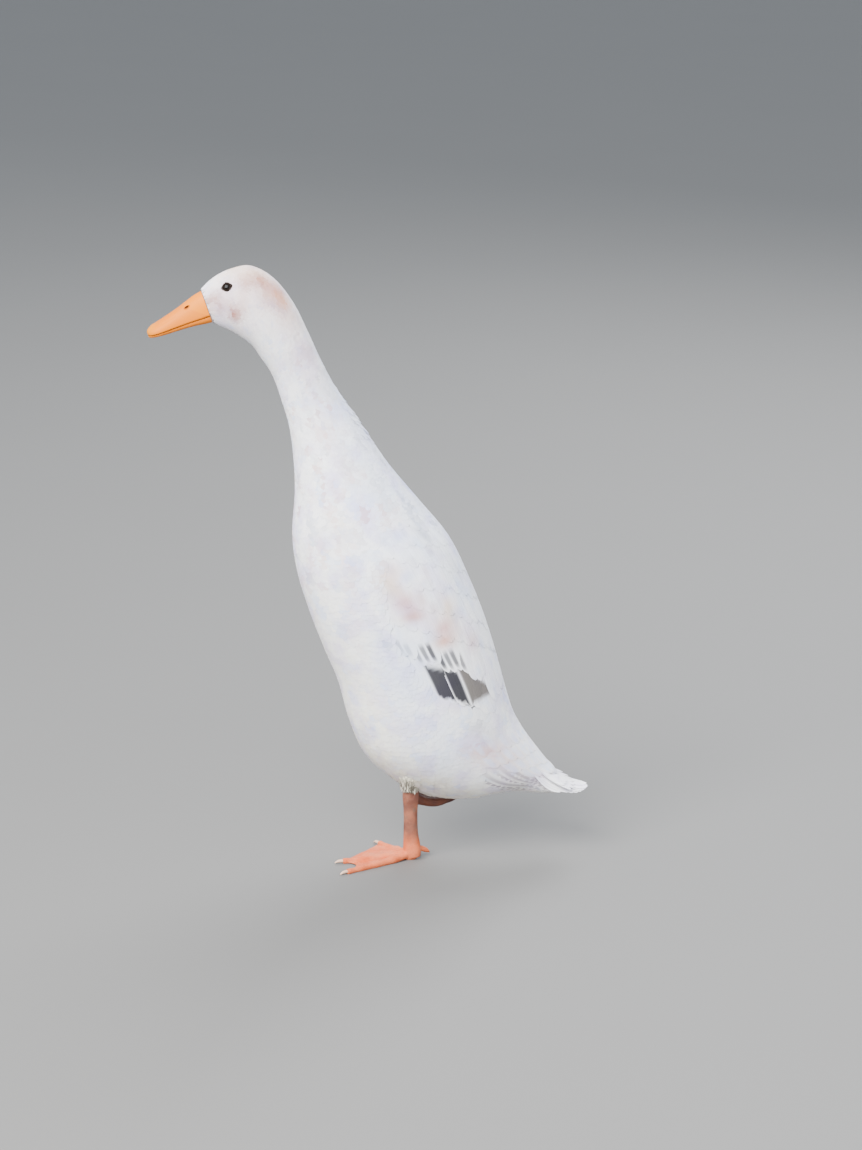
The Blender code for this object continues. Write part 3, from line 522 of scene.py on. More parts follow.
def plumage_colour(s, phi):
    """The colour of the small feathers at places on the body, which skin and coat share."""
    s, phi = np.broadcast_arrays(np.asarray(s, float), phi)
    angle = np.degrees(np.abs(phi))
    colour = np.broadcast_to(np.array(WHITE), (*s.shape, 3)).copy()
    # painted lilac shade over the neck and upper body, away from the belly
    lilac_shade = rise_and_fall(s, (5.0, 9.0, 12.0, 16.0)) * (1 - smooth_step(angle, 60, 130))
    colour = blend_colour(colour, SHADE_LILAC, 0.55 * lilac_shade * (0.75 + 0.25 * uneven(s, phi, 1.0)))
    warm = (0.45 + 0.55 * smooth_step(s, 15.0, 18.5)) * smooth_step(s, 11.0, 15.0)
    warm = warm * smooth_step(angle, 75, 130)
    grain = grain_at(STREAKS, s, phi)
    warm = warm * (0.60 + 0.15 * uneven(s, phi, 2.0) + 0.14 * grain)
    colour = blend_colour(colour, CREAM, np.clip(warm, 0, 1))
    colour = colour * (1 + 0.020 * grain)[..., None]
    front = rise_and_fall(s, (4.5, 6.5, 12.5, 15.5))
    spots = [np.clip(grain_at(table, s, phi) - 0.25, 0, 1.6) for table in MOTTLES]
    colour = blend_colour(colour, GREY, (0.05 + 0.19 * front) * spots[0])
    colour = blend_colour(colour, PINK, (0.08 + 0.24 * front) * spots[1] * smooth_step(angle, 30, 70))
    # painted lilac shade in soft spots
    colour = blend_colour(colour, SHADE_LILAC, 0.42 * spots[2])
    right = np.where(np.asarray(phi) > 0, 1.0, 0.0)
    for i, patch in enumerate(PATCHES):
        station = patch.station + right * 0.22 * math.sin(i * 2.3)
        middle = patch.angle + right * 5.0 * math.sin(i * 1.7)
        far = ((s - station) / patch.along) ** 2 + ((angle - middle) / patch.around) ** 2
        share = patch.strength * np.exp(-far) * (0.85 + 0.35 * uneven(s, phi, i))
        colour = blend_colour(colour, patch.colour, np.clip(share, 0, 1))
    return colour


# Materials


class Socket:
    """A value in a material's tree, for sums written as plain expressions."""

    def __init__(self, tree, output):
        self.tree = tree
        self.output = output

    def _math(self, operation, *values):
        return self.tree.add("ShaderNodeMath", {"operation": operation}, dict(enumerate(values)))

    def __add__(self, other):
        return self._math("ADD", self, other)

    def __radd__(self, other):
        return self._math("ADD", other, self)

    def __sub__(self, other):
        return self._math("SUBTRACT", self, other)

    def __rsub__(self, other):
        return self._math("SUBTRACT", other, self)

    def __mul__(self, other):
        return self._math("MULTIPLY", self, other)

    def __rmul__(self, other):
        return self._math("MULTIPLY", other, self)

    def __abs__(self):
        return self._math("ABSOLUTE", self)

    def sine(self):
        return self._math("SINE", self)

    def within(self, start, end, low=0.0, high=1.0):
        """Rises smoothly from low to high as the value goes from start to end."""
        settings = {"interpolation_type": "SMOOTHSTEP"}
        return self.tree.add("ShaderNodeMapRange", settings, {0: self, 1: start, 2: end, 3: low, 4: high})


class Finish:
    """A material and the ways to fill its tree."""

    def __init__(self, name, **shader):
        self.material = bpy.data.materials.new(name)
        self.material.use_nodes = True
        self.tree = self.material.node_tree
        self.shader = self.tree.nodes["Principled BSDF"]
        for socket, value in shader.items():
            self.feed(socket.replace("_", " ").title().replace("Ior", "IOR"), value)

    def set_input(self, socket, value):
        if isinstance(value, Socket):
            self.tree.links.new(value.output, socket)
        elif socket.type == "RGBA":
            socket.default_value = (*tuple(value)[:3], 1.0)
        else:
            socket.default_value = value

    def feed(self, name, value):
        self.set_input(self.shader.inputs[name], value)

    def add(self, kind, settings=None, values=None, output=0):
        """A node of a kind, with its settings made first, and then the values or links of its sockets."""
        node = self.tree.nodes.new(kind)
        for key, value in (settings or {}).items():
            setattr(node, key, value)
        for key, value in (values or {}).items():
            self.set_input(node.inputs[key], value)
        return Socket(self, node.outputs[output])

    def mix(self, share, first, second, blend="MIX"):
        settings = {"data_type": "RGBA", "blend_type": blend}
        return self.add("ShaderNodeMix", settings, {0: share, 6: first, 7: second}, 2)

    def place(self, location=(0, 0, 0), rotation=(0, 0, 0), scale=(1, 1, 1)):
        """Object coordinates, moved, turned and scaled."""
        point = self.add("ShaderNodeTexCoord", output=3)
        values = {0: point, 1: location, 2: rotation, 3: scale}
        return self.add("ShaderNodeMapping", {"vector_type": "TEXTURE"}, values)

    def axes(self, vector):
        return [self.add("ShaderNodeSeparateXYZ", None, {0: vector}, i) for i in range(3)]

    def noise(self, vector, scale, detail=2.0, roughness=0.5):
        values = {"Vector": vector, "Scale": scale, "Detail": detail, "Roughness": roughness}
        return self.add("ShaderNodeTexNoise", None, values)

    def cells(self, vector, scale):
        """The distance to the edges of uneven cells."""
        values = {"Vector": vector, "Scale": scale}
        return self.add("ShaderNodeTexVoronoi", {"feature": "DISTANCE_TO_EDGE"}, values)

    def tint(self, name="tint", output=0):
        """What was painted on a mesh."""
        return self.add("ShaderNodeAttribute", {"attribute_name": name}, output=output)

    def grey(self, red, green, blue):
        return self.add("ShaderNodeCombineColor", None, {0: red, 1: green, 2: blue})

    def bump(self, height, strength, distance, before=None):
        values = {"Height": height, "Strength": strength, "Distance": distance}
        if before:
            values["Normal"] = before
        return self.add("ShaderNodeBump", None, values)


def feather_finish(name):
    """Feathers: the tint that was painted on them, with barbs slanting from a shaft."""
    barbs, slant, relief, barb_shade, lilac_shade = FEATHER_LOOKS[name]
    finish = Finish(name, roughness=0.78, specular_ior_level=0.25, sheen_weight=0.04, sheen_roughness=0.5)
    across, along, _ = finish.axes(finish.add("ShaderNodeUVMap", {"uv_map": "vane"}))
    side = abs(across - 0.5)
    point = finish.place()
    ripple = finish.noise(point, 900.0, 2.0)
    lines = ((along * barbs - side * slant + ripple * 1.6) * math.tau).sine()
    shaft = side.within(0.012, 0.05, 1.0, 0.0)
    cloud = finish.noise(point, 160.0, 3.0)
    # painted lilac shade in soft patches, and painted shade in the grooves between the barbs where the bump
    # is low
    drift = finish.noise(point, 45.0, 3.0).within(0.42, 0.68) * lilac_shade
    shade = 1.0 - barb_shade * (0.5 - lines * 0.5) - 0.12 * (0.5 - cloud)
    grey = finish.grey(shade * (1.0 - drift * 0.8), shade * (1.0 - drift), shade * (1.0 - drift * 0.25))
    finish.feed("Base Color", finish.mix(1.0, finish.tint(), grey, "MULTIPLY"))
    finish.feed("Roughness", 0.70 + 0.16 * cloud)
    fine = finish.bump(lines * 0.5 + shaft * 1.5, 0.8, relief)
    finish.feed("Normal", finish.bump(finish.noise(point, 420.0, 3.0), 0.35, 0.0004, fine))
    return finish.material


def down_finish(name):
    """Skin under the coat: down of the same colours."""
    finish = Finish(name, roughness=0.85)
    fluff = finish.noise(finish.place(), 700.0, 4.0)
    shade = 0.86 + 0.2 * fluff
    finish.feed("Base Color", finish.mix(1.0, finish.tint(), finish.grey(shade, shade, shade), "MULTIPLY"))
    finish.feed("Normal", finish.bump(fluff, 0.6, 0.0006))
    return finish.material


def bill_finish(name, colours):
    """Satin horn: orange, yellower at the nail, with a dark nostril and fine grooves along it."""
    finish = Finish(name, roughness=0.45, specular_ior_level=0.12)
    gape = (x_of(GAPE[0]), 0.0, GAPE[1] * MM)
    along, side, up = finish.axes(finish.place(gape, (0, -BILL_DROP, math.pi)))
    point = finish.place()
    cloud = finish.noise(point, 120.0, 4.0, 0.6)
    tip = along.within(38 * MM, 56 * MM)
    base = finish.mix(tip, colours.bill, colours.nail)
    ridge = (up - along * -0.19).within(14 * MM, 21 * MM) * cloud.within(0.35, 0.65)
    base = finish.mix(ridge * 0.3, base, (0.62, 0.17, 0.01))
    margin = up.within(0.2 * MM, 1.6 * MM, 1.0, 0.0)
    base = finish.mix(margin * 0.35, base, (0.48, 0.11, 0.01))
    base = finish.mix(cloud.within(0.5, 0.8) * 0.25, base, (0.62, 0.22, 0.0))
    # painted shade: the nostril painted dark for the shade inside it
    base = finish.mix(finish.tint("hole", 2), base, (0.05, 0.018, 0.01))
    finish.feed("Base Color", base)
    finish.feed("Roughness", 0.40 + 0.2 * cloud)
    streak = finish.noise(finish.place(gape, (0, -BILL_DROP, math.pi), (8, 1, 1)), 900.0, 3.0)
    pores = finish.noise(point, 1400.0, 2.0)
    grooves = finish.bump(streak, 0.35, 0.0003)
    finish.feed("Normal", finish.bump(pores, 0.15, 0.0001, grooves))
    return finish.material


def leg_finish(name, colours, turn, shade):
    """Scaled skin: plates across the front of the shank, small scales elsewhere, the grooves between them
    darker, and dust.
    """
    finish = Finish(name, roughness=0.5, specular_ior_level=0.35)
    point = finish.place()
    warped = finish.noise(point, 70.0, 3.0)
    scales = finish.cells(finish.place(rotation=turn, scale=(1.0, 1.0, 0.7)), 560.0)
    groove = scales.within(0.0, 0.14, 1.0, 0.0)
    height = finish.axes(point)[2]
    upper = height.within(12 * MM, 32 * MM)
    base = finish.mix(upper, colours.foot, colours.shank)
    base = finish.mix(warped.within(0.35, 0.7) * 0.4, base, (0.74, 0.25, 0.12))
    base = finish.mix(groove * (0.25 + 0.45 * upper), base, (0.16, 0.05, 0.03))
    soil = finish.noise(point, 130.0, 5.0, 0.65).within(0.50, 0.70)
    base = finish.mix(soil * (0.15 + 0.55 * upper), base, (0.15, 0.085, 0.06))
    # painted shade: the skin darkened by the share given as shade, so the tucked foot looks to lie in the
    # belly's shadow
    finish.feed("Base Color", finish.mix(shade, base, (0.05, 0.015, 0.01)))
    finish.feed("Roughness", 0.45 + 0.25 * warped)
    fine = finish.bump(finish.noise(point, 1600.0, 2.0), 0.2, 0.0001)
    finish.feed("Normal", finish.bump(scales.within(0.0, 0.3), 0.8, 0.0004, fine))
    return finish.material


def claw_finish(name):
    finish = Finish(name, roughness=0.35)
    point = finish.place()
    cloud = finish.noise(point, 500.0, 3.0)
    finish.feed("Base Color", finish.mix(cloud, (0.42, 0.25, 0.17), (0.62, 0.42, 0.30)))
    finish.feed("Normal", finish.bump(cloud, 0.3, 0.0001))
    return finish.material


def eye_finish(name):
    """A dark brown iris round a black pupil, under a wet cornea."""
    finish = Finish(name, roughness=0.10, specular_ior_level=0.10)
    speckle = finish.noise(finish.place(), 2200.0, 2.0)
    finish.feed("Base Color", finish.mix(speckle * 0.4, finish.tint(), (0.0, 0.0, 0.0)))
    return finish.material


def lid_finish(name):
    finish = Finish(name, roughness=0.7, specular_ior_level=0.10)
    cloud = finish.noise(finish.place(), 900.0, 3.0)
    finish.feed("Base Color", finish.mix(cloud, (0.012, 0.008, 0.006), (0.035, 0.024, 0.018)))
    finish.feed("Normal", finish.bump(cloud, 0.5, 0.0003))
    return finish.material


def floor_finish(name, colour):
    finish = Finish(name, roughness=0.7)
    cloud = finish.noise(finish.place(), 3.0, 2.0)
    darker = tuple(0.96 * value for value in colour)
    finish.feed("Base Color", finish.mix(cloud, tuple(colour), darker))
    return finish.material


# Mesh helpers


def mapped_grid(columns, rows, place):
    """A bmesh grid whose points go where place puts its shares across and along."""
    bm = bmesh.new()
    bmesh.ops.create_grid(bm, x_segments=columns, y_segments=rows, size=0.5)
    shares = np.array([vert.co[:2] for vert in bm.verts]) + 0.5
    for vert, point in zip(bm.verts, place(shares[:, 0], shares[:, 1])):
        vert.co = point
    return bm


def close_tube(bm):
    """Joins the seam of a rolled grid and fills its ends."""
    bmesh.ops.remove_doubles(bm, verts=bm.verts, dist=0.002 * MM)
    bmesh.ops.holes_fill(bm, edges=bm.edges, sides=0)
    ends = [face for face in bm.faces if len(face.verts) > 4]
    bmesh.ops.poke(bm, faces=ends)
    bmesh.ops.recalc_face_normals(bm, faces=bm.faces)
    return bm


def add_piece(name, mesh, material, slot, *nodes):
    """A finished piece of the duck, in place of CAD nodes."""
    obj = bpy.data.objects.new(name, mesh)
    bpy.context.scene.collection.objects.link(obj)
    mesh.materials.clear()
    mesh.materials.append(material)
    if not mesh.has_custom_normals:
        mesh.shade_smooth()
    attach(obj, "root")
    if nodes:
        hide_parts(*nodes)
    return obj


def mesh_of(bm, name):
    mesh = bpy.data.meshes.new(name)
    bm.to_mesh(mesh)
    bm.free()
    return mesh


def standing_mesh(bm, name):
    """A mesh cut flat where it would reach below the floor."""
    for vert in bm.verts:
        vert.co.z = max(vert.co.z, 0.0)
    return mesh_of(bm, name)


def paint(mesh, attribute, values):
    """Stores a colour or a number for each point of a mesh."""
    values = np.asarray(values, float)
    if values.ndim == 2:
        layer = mesh.attributes.new(attribute, "FLOAT_COLOR", "POINT")
        layer.data.foreach_set("color", np.column_stack([values, np.ones(len(values))]).ravel())
    else:
        layer = mesh.attributes.new(attribute, "FLOAT", "POINT")
        layer.data.foreach_set("value", values)


def points_of(mesh):
    points = np.zeros(len(mesh.vertices) * 3)
    mesh.vertices.foreach_get("co", points)
    return points.reshape(-1, 3)


def fused(bm, name, voxel):
    """One closed mesh round overlapping forms, by a voxel remesh and some smoothing."""
    source = bpy.data.objects.new(name, mesh_of(bm, name))
    bpy.context.scene.collection.objects.link(source)
    remesh = source.modifiers.new("Fuse", "REMESH")
    remesh.mode = "VOXEL"
    remesh.voxel_size = voxel
    graph = bpy.context.evaluated_depsgraph_get()
    mesh = bpy.data.meshes.new_from_object(source.evaluated_get(graph))
    bpy.data.objects.remove(source)
    bm = bmesh.new()
    bm.from_mesh(mesh)
    axes = {"use_axis_x": True, "use_axis_y": True, "use_axis_z": True}
    for _ in range(FUSED_SMOOTHING):
        bmesh.ops.smooth_vert(bm, verts=bm.verts, factor=0.5, **axes)
    return bm


# Feathers

# A blade's points across, along and up, its faces, each point's side of the shaft from -1 to 1 before the
# blade was narrowed, and for each face 1, or -1 where it is the underside
Vane = namedtuple("Vane", "across along up faces edge sides")
ROOT_WIDTH = 0.30
ROUNDING_START, ROUNDING_POWER = 0.6, 2.4
FACING_STEPS = (0.02, 0.004)
# How soon a feather rises and how far its edges turn: in the coat, in the long rows, and elsewhere
COAT_CAMBER = 0.014
COAT_BEND, LONG_BEND, LOOSE_BEND = (1.15, 0.05), (1.2, 0.06), (2.0, 0.08)
# The unwrap: a feather's own patch of it, and how many degrees and stations a wing's or the tail's rows take
SMALL_PATCH, LONG_PATCH = 0.003, 0.012
ROWS_ANGLES = (2, 126)
ROWS_LENGTH = 8.4


def vanes_of(blade):
    """The variants of a blade."""
    return [vane_shape(blade, seed) for seed in blade.seeds]


def vane_shape(blade, seed):
    """A feather's blade as shares of its width and length, from a grid that is narrowed at the root,
    rounded at the tip and frayed. With a thickness it is a closed plate, else a single sheet."""
    rng = np.random.default_rng(seed)
    bm = bmesh.new()
    bmesh.ops.create_grid(bm, x_segments=blade.columns, y_segments=blade.rows, size=0.5)
    edge = bm.verts.layers.float.new("edge")
    for vert in bm.verts:
        side, along = vert.co.x * 2, max(vert.co.y + 0.5, 0.0)
        vert[edge] = side
        grow = min(along / blade.taper, 1.0)
        width = ROOT_WIDTH + (1 - ROOT_WIDTH) * grow * (2 - grow)
        late = min(max((along - ROUNDING_START) / (1 - ROUNDING_START), 0.0), 1.0)
        width *= blade.tip + (1 - blade.tip) * math.sqrt(1 - late**ROUNDING_POWER)
        vert.co.x = side / 2 * width
        vert.co.y = along + rng.uniform(-blade.ragged, blade.ragged) * late
    if blade.thickness:
        lower = bmesh.ops.extrude_face_region(bm, geom=list(bm.faces), use_keep_orig=True)["geom"]
        moved = [item for item in lower if isinstance(item, bmesh.types.BMVert)]
        bmesh.ops.translate(bm, vec=(0, 0, 1), verts=moved)
        bmesh.ops.recalc_face_normals(bm, faces=bm.faces)
    bm.verts.index_update()
    points = np.array([vert.co for vert in bm.verts])
    faces = np.array([[vert.index for vert in reversed(face.verts)] for face in bm.faces])
    edges = np.array([vert[edge] for vert in bm.verts])
    bm.free()
    below = np.all(points[faces][:, :, 2] < 0.5, axis=1) & (blade.thickness > 0)
    sides = np.where(below, -1.0, 1.0)
    return Vane(points[:, 0], points[:, 1], points[:, 2] * blade.thickness, faces, edges, sides)


def lay_feathers(vane, place, root, tip, width, low, high, tilt, camber, arch=LOOSE_BEND[0],
                 curl=LOOSE_BEND[1]):
    """Points of feathers laid on a surface from their roots to their tips, the way they face, and their
    places on it. low and high are the lifts at root and tip, tilt lifts one edge, camber lowers both, arch is
    how soon a feather rises, and curl how far its edges turn away from the surface's own smooth shading."""
    s = root[:, :1] + (tip[:, :1] - root[:, :1]) * vane.along
    phi = root[:, 1:] + (tip[:, 1:] - root[:, 1:]) * vane.along
    near_s, near_phi = stretch(place, root[:, 0], root[:, 1])
    far_s, far_phi = stretch(place, tip[:, 0], tip[:, 1])
    per_s = near_s[:, None] + (far_s - near_s)[:, None] * vane.along
    per_phi = near_phi[:, None] + (far_phi - near_phi)[:, None] * vane.along
    ahead = (tip[:, 0] - root[:, 0]) * (near_s + far_s)
    aside = (tip[:, 1] - root[:, 1]) * (near_phi + far_phi)
    size = np.hypot(ahead, aside) + 1e-9
    cos, sin = (ahead / size)[:, None], (aside / size)[:, None]
    offset = width[:, None] * vane.across
    s = s - offset * sin / per_s
    phi = phi + offset * cos / per_phi
    rise = 1 - (1 - np.clip(vane.along, 0, 1)) ** arch
    lift = low[:, None] + (high - low)[:, None] * rise
    side = 2 * vane.across
    lift = lift + tilt[:, None] * side * rise - camber[:, None] * side**2 + vane.up
    points = place(s, phi, lift)
    ahead = place(s + FACING_STEPS[0], phi, lift) - points
    aside = place(s, phi + FACING_STEPS[1], lift) - points
    out = np.cross(ahead, aside)
    out *= np.sign(np.sum(out * (place(s, phi, lift + MM) - points), axis=-1))[..., None]
    lean = curl * unit(aside) * side[..., None] + 0.5 * curl * unit(ahead) * (vane.along - 0.5)[:, None]
    return points, unit(out) + lean, s, phi


def unit(vectors):
    """The vectors at a length of 1."""
    return vectors / (np.linalg.norm(vectors, axis=-1)[..., None] + 1e-12)


def merged_mesh(name, batches):
    """One mesh of many feathers. A batch is a vane, its points, the way they face, colours and the places of
    its patches."""
    vertices, normals, faces, colours, patches, own, sides = [], [], [], [], [], [], []
    start = 0
    for vane, points, facing, colour, spot, patch in batches:
        count, size = points.shape[:2]
        index = vane.faces[None] + (np.arange(count) * size)[:, None, None] + start
        vertices.append(points.reshape(-1, 3))
        normals.append(facing.reshape(-1, 3))
        faces.append(index.reshape(-1, 4))
        sides.append(np.tile(vane.sides, count))
        colours.append(np.broadcast_to(colour, (count, size, 3)).reshape(-1, 3))
        local = np.stack([vane.across, vane.along - 0.5], axis=1) * patch
        patches.append((spot[:, None, :] + local[None]).reshape(-1, 2))
        flat = np.stack([vane.across + 0.5, vane.along], axis=1)
        own.append(np.broadcast_to(flat, (count, size, 2)).reshape(-1, 2))
        start += count * size
    vertices, faces = np.concatenate(vertices), np.concatenate(faces)
    mesh = bpy.data.meshes.new(name)
    mesh.vertices.add(len(vertices))
    mesh.vertices.foreach_set("co", vertices.ravel())
    mesh.loops.add(faces.size)
    mesh.loops.foreach_set("vertex_index", faces.ravel())
    mesh.polygons.add(len(faces))
    mesh.polygons.foreach_set("loop_start", np.arange(0, faces.size, 4))
    mesh.update(calc_edges=True)
    paint(mesh, "tint", np.concatenate(colours))
    for layer, coords in (("OFBake", np.concatenate(patches)), ("vane", np.concatenate(own))):
        mesh.uv_layers.new(name=layer).data.foreach_set("uv", coords[faces.ravel()].ravel())
    mesh.shade_smooth()
    facing = np.concatenate(normals)[faces] * np.concatenate(sides)[:, None, None]
    mesh.normals_split_custom_set(facing.reshape(-1, 3))
    return mesh


def unwrap_spot(s, phi):
    """The place of a root on the unwrap of the skin: round the body and along it."""
    return np.stack([0.5 + phi / math.tau * 0.94, 0.02 + s / LAST * 0.96], axis=-1)


def under_wing(s, phi):
    """True where a folded wing covers the body."""
    stations, top, low = np.array(WING_COVER).T
    angle = np.degrees(np.abs(phi))
    along = (s > stations[0]) & (s < stations[-1])
    return along & (angle > np.interp(s, stations, top)) & (angle < np.interp(s, stations, low))


def under_tail(s, phi):
    """True where the tail's long feathers cover the body."""
    stations, low = np.array(TAIL_COVER).T
    return (s > stations[0]) & (np.degrees(np.abs(phi)) < np.interp(s, stations, low))


def coat_roots(start, end, rng):
    """Roots in staggered rows down the body, at the coat's own spacing."""
    places = []
    s, row = start, 0
    ring = np.linspace(-math.pi, math.pi, RING_STEPS + 1)
    while s < end:
        spacing = coat_at(s)[1] * MM
        _, around = stretch(outline, np.full(RING_STEPS, s), ring[:-1])
        along, _ = stretch(outline, np.array([s]), np.array([math.pi / 2]))
        reach = np.concatenate([[0], np.cumsum(around * math.tau / RING_STEPS)])
        count = max(6, int(round(reach[-1] / spacing)))
        at = (np.arange(count) + 0.5 * (row % 2) + rng.uniform(-0.22, 0.22, count)) / count * reach[-1]
        phi = np.interp(at % reach[-1], reach, ring)
        places.append(np.stack([s + rng.uniform(-0.28, 0.28, count) * spacing / along, phi], axis=1))
        s += spacing / along[0]
        row += 1
    roots = np.concatenate(places)
    return roots[roots[:, 0] > start - 0.02]


def coat_batches(start, end, settings, vanes, seed):
    """The small feathers of a length of the body."""
    rng = np.random.default_rng(seed)
    roots = coat_roots(start, end, rng)
    roots = roots[~under_wing(roots[:, 0] + 0.12, roots[:, 1])]
    roots = roots[~under_tail(*roots.T)]
    count = len(roots)
    depth, spacing, stand = (value * MM for value in coat_at(roots[:, 0]))
    length = spacing * settings.feather_length * rng.uniform(*COAT_VARIES, count)
    width = spacing * settings.feather_width * rng.uniform(*COAT_VARIES, count)
    side = np.sign(roots[:, 1])
    angle = np.abs(roots[:, 1])
    flank = rise_and_fall(roots[:, 0], FLANK_SPAN)
    flank = flank * np.exp(-((np.degrees(angle) - FLANK_MIDDLE) / FLANK_REACH) ** 2)
    turn = rng.normal(0.0, 0.07, count) - side * flank * 0.30
    along, around = stretch(outline, roots[:, 0], roots[:, 1])
    tip = roots + np.stack([length * np.cos(turn) / along, length * np.sin(turn) / around], axis=1)
    tip[:, 0] = np.minimum(tip[:, 0], LAST)
    high = rng.normal(0.0, 0.25, count) * stand + flank * 0.5 * MM
    fluff = rise_and_fall(roots[:, 0], FLUFF_SPAN) * smooth_step(angle, *FLUFF_ANGLES)
    high = high + fluff * np.abs(rng.normal(0.3, 0.7, count)) * MM
    nape = rise_and_fall(roots[:, 0], NAPE_SPAN) * (angle < NAPE_ANGLE)
    high = high + nape * np.maximum(rng.normal(0.2, 0.55, count), 0) * MM
    tilt = rng.normal(0.0, 0.006, count) * spacing
    colour = plumage_colour(tip[:, 0] + rng.normal(0, 1, count) * COLOUR_STRAY,
                            tip[:, 1] + rng.normal(0, 0.5, count) * COLOUR_STRAY)
    colour = colour * (1 + rng.normal(0, settings.variation, count))[:, None]
    pick = rng.integers(0, len(vanes), count)
    batches = []
    for i, vane in enumerate(vanes):
        mine = pick == i
        camber = spacing[mine] * COAT_CAMBER
        points, facing, *_ = lay_feathers(vane, outline, roots[mine], tip[mine], width[mine], -depth[mine],
                                          high[mine], tilt[mine], camber, *COAT_BEND)
        # painted shade: each feather a little darker towards its root, where the feathers over it shade it
        shade = 1 - 0.03 * (1 - vane.along)[None, :, None]
        tint = np.clip(colour[mine][:, None, :] * shade, 0, 0.92)
        batches.append((vane, points, facing, tint, unwrap_spot(roots[mine, 0], roots[mine, 1]), SMALL_PATCH))
    return batches


def mark_edge(edge, line):
    """The station where a dark patch of the wing starts or ends, on lines along the feathers."""
    level, station, slope = edge
    return station + (level - line) * slope


def wing_colour(row, s, phi, outward, along, rng):
    """The colours of one feather of a folded wing: a row of grey marks on the greater coverts, then a dark
    slate and a taupe patch over the secondaries, each feather with a thin white edge."""
    angle = np.degrees(np.abs(phi))
    colour = plumage_colour(s, phi) * (1 + rng.normal(0, 0.012))
    if row.name == "secondaries":
        line = angle + WING_SLANT * (s - 16)
        ragged, late = rng.uniform(-0.07, 0.05), rng.uniform(-0.06, 0.03)
        top, end = mark_edge(SLATE_MARK.top, line) + late, mark_edge(SLATE_MARK.end, line) + ragged
        end = end - 0.10 * (outward - 0.1) ** 2
        slate = rise_and_fall(s, (top - 0.12, top + 0.08, end - 0.04, end + 0.04))
        slate = band(line, *SLATE_MARK.lines, MARK_SOFT) * slate * (1 - smooth_step(outward, 0.80, 0.96))
        top, end = mark_edge(TAUPE_MARK.top, line) + late, mark_edge(TAUPE_MARK.end, line) + 1.5 * ragged
        taupe = band(line, *TAUPE_MARK.lines, MARK_SOFT) * band(s, top, end, 0.09)
        grain = 1 + 0.12 * rng.normal()
        colour = blend_colour(colour, np.array(SLATE) * grain, slate)
        pale = 1 - 0.25 * smooth_step(outward, 0.75, 1)
        colour = blend_colour(colour, np.array(TAUPE) * grain, 0.93 * taupe * pale)
    if row.name == "greater_coverts":
        middle = float(np.mean(angle))
        dark = float(smooth_step(-middle, -GREY_FROM, -SLATE_UP_TO))
        mark = band(along, 0.70 - 0.06 * dark, 0.93, 0.06) * band(outward, 0.02, 0.80, 0.16)
        strength = band(middle, *GREY_MARKS, 3) * (0.75 + 0.20 * dark) * rng.uniform(0.8, 1.0)
        tone = np.array(GREY) + (np.array(SLATE) - np.array(GREY)) * dark
        colour = blend_colour(colour, tone, strength * mark)
    return np.clip(colour, 0, 0.9)


def row_batches(rows, rows_start, side, vanes, colours, seed):
    """The long feathers of one side, tier over tier. rows_start is the station where their unwrap starts."""
    rng = np.random.default_rng(seed)
    batches = []
    for row in rows:
        for share in np.linspace(0, 1, row.count):
            tip_s = row.first[0] + (row.last[0] - row.first[0]) * share + rng.normal(0, 0.06)
            tip_phi = math.radians(row.first[1] + (row.last[1] - row.first[1]) * share)
            length = row.length * rng.uniform(0.96, 1.04)
            root = np.array([[tip_s - length, side * (tip_phi + math.radians(row.drift))]])
            tip = np.array([[tip_s, side * tip_phi]])
            vane = vanes[rng.integers(0, len(vanes))]
            low = np.array([LONG_LIFTS[0] + TIER_STEP * row.tier]) * MM
            high = np.array([LONG_LIFTS[1] + TIER_STEP * row.tier + rng.normal(0, 0.015)]) * MM
            width = np.array([row.width * rng.uniform(0.94, 1.06)]) * MM
            tilt, camber = np.array([side * 0.06 * MM]), np.array([0.02 * MM])
            points, facing, s, phi = lay_feathers(vane, outline, root, tip, width, low, high, tilt, camber,
                                                  *LONG_BEND)
            colour = colours(row, s[0], phi[0], vane.edge * side, vane.along, rng)
            around = (math.degrees(abs(root[0, 1])) - ROWS_ANGLES[0]) / ROWS_ANGLES[1]
            spot = np.array([[around, (root[0, 0] - rows_start) / ROWS_LENGTH]])
            batches.append((vane, points, facing, colour[None], 0.03 + spot * 0.92, LONG_PATCH))
    return batches


def tail_place(x, y, lift=0.0):
    """Points over the tail's roof, with x and y in mm and the lift in metres, as places in the frame."""
    lift = np.asarray(lift) / MM
    back = np.maximum(TAIL_TIP[0] - x, 0.0)
    ridge = TAIL_TIP[1] + TAIL_RISE[0] * back + TAIL_RISE[1] * back**2
    slope = TAIL_SLOPE[0] + (TAIL_SLOPE[1] - TAIL_SLOPE[0]) * smooth_step(x, *TAIL_SLOPE_ENDS)
    drop = slope * (np.hypot(y, TAIL_RIDGE) - TAIL_RIDGE)
    return np.stack([x_of(x), y * MM, (ridge - drop + lift) * MM], axis=-1)


def tail_colour(vane, pair, rng):
    """White with a lavender brown web on each feather's outer side."""
    colour = np.broadcast_to(np.array(WHITE) * (1 + rng.normal(0, 0.015)), (len(vane.along), 3)).copy()
    area = band(vane.along, 0.45, 0.92, 0.08) * (1 - smooth_step(np.abs(vane.edge), 0.45, 0.8))
    return blend_colour(colour, WEB, 0.40 * area * min(pair, 3) / 3)


